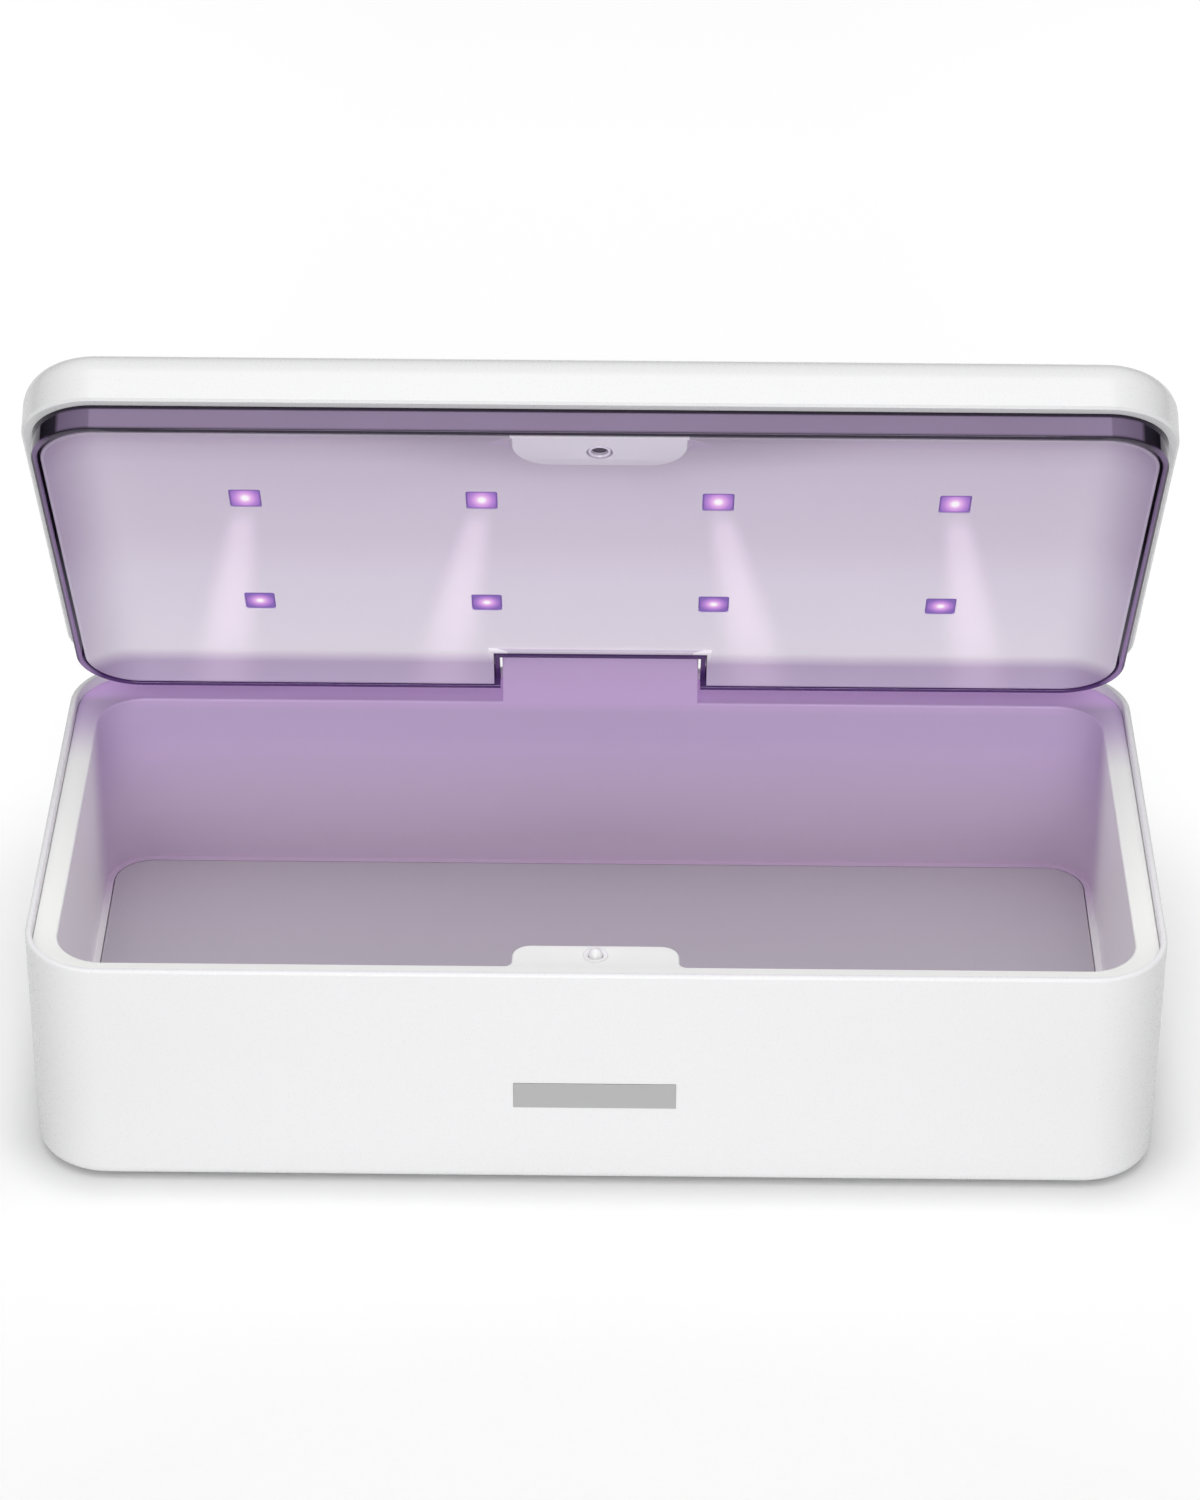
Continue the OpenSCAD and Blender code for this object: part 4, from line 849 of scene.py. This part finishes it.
hinge_row = add(tree, "Math", {0: split.outputs["Y"], 1: 0.0}, operation="GREATER_THAN")
squash_x = add(tree, "Mix", {0: hinge_row, 2: 1 / 0.0036, 3: 1 / 0.0031})
squash_y = add(tree, "Mix", {0: hinge_row, 2: 1 / 0.0052, 3: 1 / 0.0033})
scaled_x = add(tree, "Math", {0: dx, 1: squash_x}, operation="MULTIPLY")
scaled_y = add(tree, "Math", {0: dy, 1: squash_y}, operation="MULTIPLY")
spread = add(tree, "CombineXYZ", {0: scaled_x, 1: scaled_y})
from_core = add(tree, "VectorMath", {0: spread}, operation="LENGTH")
core_glow = add(tree, "ValToRGB", {"Fac": from_core})
stops = core_glow.color_ramp.elements
stops[0].position, stops[0].color = 0.14, linear("#fffaff")
stops[1].position, stops[1].color = 0.92, linear("#8566b6")
stops.new(0.32).color = linear("#e9b2ed")
stops.new(0.60).color = linear("#b984d6")
# The painted dark line of shade in the gap round each pane.
edge_x = add(tree, "Math", {0: dx}, operation="ABSOLUTE")
edge_y = add(tree, "Math", {0: dy}, operation="ABSOLUTE")
near_x = add(tree, "MapRange", {"Value": edge_x, "From Min": 0.0025, "From Max": 0.0029})
near_y = add(tree, "MapRange", {"Value": edge_y, "From Min": 0.0027, "From Max": 0.0034})
pane_edge = add(tree, "Math", {0: near_x, 1: near_y}, operation="MAXIMUM")
glow_with_painted_gap_shade = add(tree, "Mix", {0: pane_edge, 6: core_glow, 7: "#7556a0"}, data_type="RGBA")
lit = add(tree, "Emission", {"Color": glow_with_painted_gap_shade, "Strength": 1.0})
clear = add(tree, "BsdfPrincipled", {"Base Color": "#b9a3d8", "Roughness": 0.1})
half_lit = add(tree, "MixShader", {0: 0.92, 1: clear, 2: lit})
add(tree, "OutputMaterial", {"Surface": half_lit})
paint(panes, pane)
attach(panes, "lid")
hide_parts("lamp_windows")
# Ceramic lamp packages behind the panes, painted pale violet for their own light.
paint(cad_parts["uv_lamps"], plastic("violet-lit ceramic", "#cdb6f0", 0.4))

# Catch in the lid
# A collar of glossy pale acetal pressed into the boss, with a polished dark steel pin deep
# inside, which meets the plunger. To the eye it is a bright ring round a dark hole.
collar_r, collar_in, collar_face, collar_soft, collar_drop = 2.12, 1.55, panel_rim + 0.05, 0.15, 0.2
collar = turned_piece(
    "catch_collar",
    [(collar_r, panel_back), (collar_r, collar_face + collar_drop),
     (collar_r - collar_soft, collar_face), (collar_in + collar_soft, collar_face),
     (collar_in, collar_face + collar_drop), (collar_in, panel_back)],
    (0, pin_y, 0), opened, ring=True)
paint(collar, plastic("pale lilac plastic, glossy", "#e6dcf0", 0.2, coat=0.3))
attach(collar, "lid")
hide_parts("catch_ring")
paint(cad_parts["catch_pin"], plastic("dark polished pin", "#2c2436", 0.1, coat=0.6))

# Start button and light ring
# A round cap of white ABS with a faint dish and a soft edge, held under the shell by its
# flange. The milky ring round it lights while the box runs.
cap_top, cap_r, cap_wall, stem_r, hollow, cap_low = LID_TOP + 0.4, 7.0, 1.2, 2.0, 63.0, 61.6
flange_r, flange_z, dish_deep, dish_curve = 8.1, 62.5, 0.3, 120
dish = [(r, cap_top - dish_deep + r * r / dish_curve) for r in (0, 1.5, 3.0, 4.5, 5.6)]
button = turned_piece(
    "start_cap",
    dish + [(6.4, cap_top), (6.8, cap_top - 0.15), (cap_r, cap_top - 0.5), (cap_r, flange_z),
            (flange_r, flange_z), (flange_r, cap_low), (cap_r - cap_wall, cap_low),
            (cap_r - cap_wall, hollow), (stem_r, hollow), (stem_r, cap_low), (0, cap_low)],
    (0, button_y, 0), opened)
paint(button, lid_white_painted_darker)
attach(button, "start_button")
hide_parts("start_button")
ring_in, ring_edge = 7.3, 0.15
light_ring = turned_piece(
    "light_ring_soft",
    [(ring_in, ring_low), (ring_in, LID_TOP - ring_edge), (ring_in + ring_edge, LID_TOP),
     (ring_r - ring_edge, LID_TOP), (ring_r, LID_TOP - ring_edge), (ring_r, ring_low)],
    (0, button_y, 0), opened, ring=True)
# Milky polycarbonate, unlit: to the eye a pale bluish grey with a soft gloss.
paint(light_ring, plastic("milky translucent plastic", "#d9d7e6", 0.3, coat=0.2))
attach(light_ring, "lid")
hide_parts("light_ring")

# Metal pieces
# Screws, hinge pins and the inlet's shell are drawn or turned steel, plated bright. The two
# bushes in the tower are turned brass, pressed in.
# Plated steel: a cool bright metal. Its fine marks, drawn 0.17 mm apart and so coarser than
# real, blur its reflections.
steel_mark, brass_mark = 1 / 6, 0.2
steel, tree = start_material("bright steel, finely drawn")
where = add(tree, "TexCoord")
fine = add(tree, "TexNoise",
           {"Vector": where.outputs["Object"], "Scale": 1000 / steel_mark, "Detail": 3.0})
sheen = add(tree, "MapRange", {"Value": fine, "To Min": 0.22, "To Max": 0.34})
skin = add(tree, "BsdfPrincipled", {"Base Color": "#c9c9cc", "Metallic": 1.0, "Roughness": sheen})
add(tree, "OutputMaterial", {"Surface": skin})
for name in ("base_screws", "switch_screws", "board_screws", "lamp_board_screws",
             "button_board_screws", "hinge_pin", "hinge_tube", "power_inlet"):
    paint(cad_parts[name], steel)
# Turned brass: a warm yellow metal, a little dulled by its tool marks, drawn 0.2 mm apart.
brass, tree = start_material("turned brass")
where = add(tree, "TexCoord")
fine = add(tree, "TexNoise",
           {"Vector": where.outputs["Object"], "Scale": 1000 / brass_mark, "Detail": 3.0})
sheen = add(tree, "MapRange", {"Value": fine, "To Min": 0.25, "To Max": 0.38})
skin = add(tree, "BsdfPrincipled", {"Base Color": "#c9a45c", "Metallic": 1.0, "Roughness": sheen})
add(tree, "OutputMaterial", {"Surface": skin})
for name in ("friction_bush", "lead_bush"):
    paint(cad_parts[name], brass)

# Plunger spring
# A small coil of drawn steel wire between the switch and the plunger's collar.
wire_r, coil_r, coil_low, coil_rise, sink = 0.175, 1.6, 39.75, 3.55, 1.0
coil_turns, coil_steps, wire_sides = 5, 24, 10
coil_rings = coil_turns * coil_steps
bm = bmesh.new()
wire_ring = arc(0, coil_low + wire_r, wire_r, 0, 360 - 360 / wire_sides, wire_sides - 1)
wire_loops = []
for i in range(coil_rings + 1):
    turn, climb = math.tau * i / coil_steps, coil_rise * i / coil_rings
    wire_loops.append([bm.verts.new(((coil_r + x) * math.cos(turn),
                                     pin_y + (coil_r + x) * math.sin(turn), z + climb))
                       for x, z in wire_ring])
for a, b in zip(wire_loops, wire_loops[1:]):
    bridge(bm, a, b)
plate(bm, wire_loops[0])
plate(bm, wire_loops[-1])
coil = mesh_object("return_spring", bm)
paint(coil, steel)
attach(coil, "base")
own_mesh(coil)
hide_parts("plunger_spring")

# Circuit boards, their parts and the leads
# Fibreglass boards under glossy green lacquer, aluminium lamp strips under a white coat, parts
# of matt black moulded plastic, and leads in a soft grey sheath. All are hidden inside.
green = plastic("green board lacquer on fibreglass", "#1f5a34", 0.3, 0.9, 0.1)
black = plastic("black moulded plastic, matt", "#1c1c1e", 0.5)
strip_white = plastic("white coat on aluminium", "#eeeeee", 0.35)
sheath = plastic("grey lead sheath", "#4a4a4d", 0.55)
for names, material in (
        (("main_board", "button_board"), green), (("lamp_boards",), strip_white),
        (("board_parts", "buzzer", "lid_switch", "button_switch", "switch_actuator",
          "inlet_tongue"), black),
        (("base_lead", "lid_lead", "switch_lead"), sheath)):
    for name in names:
        paint(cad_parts[name], material)
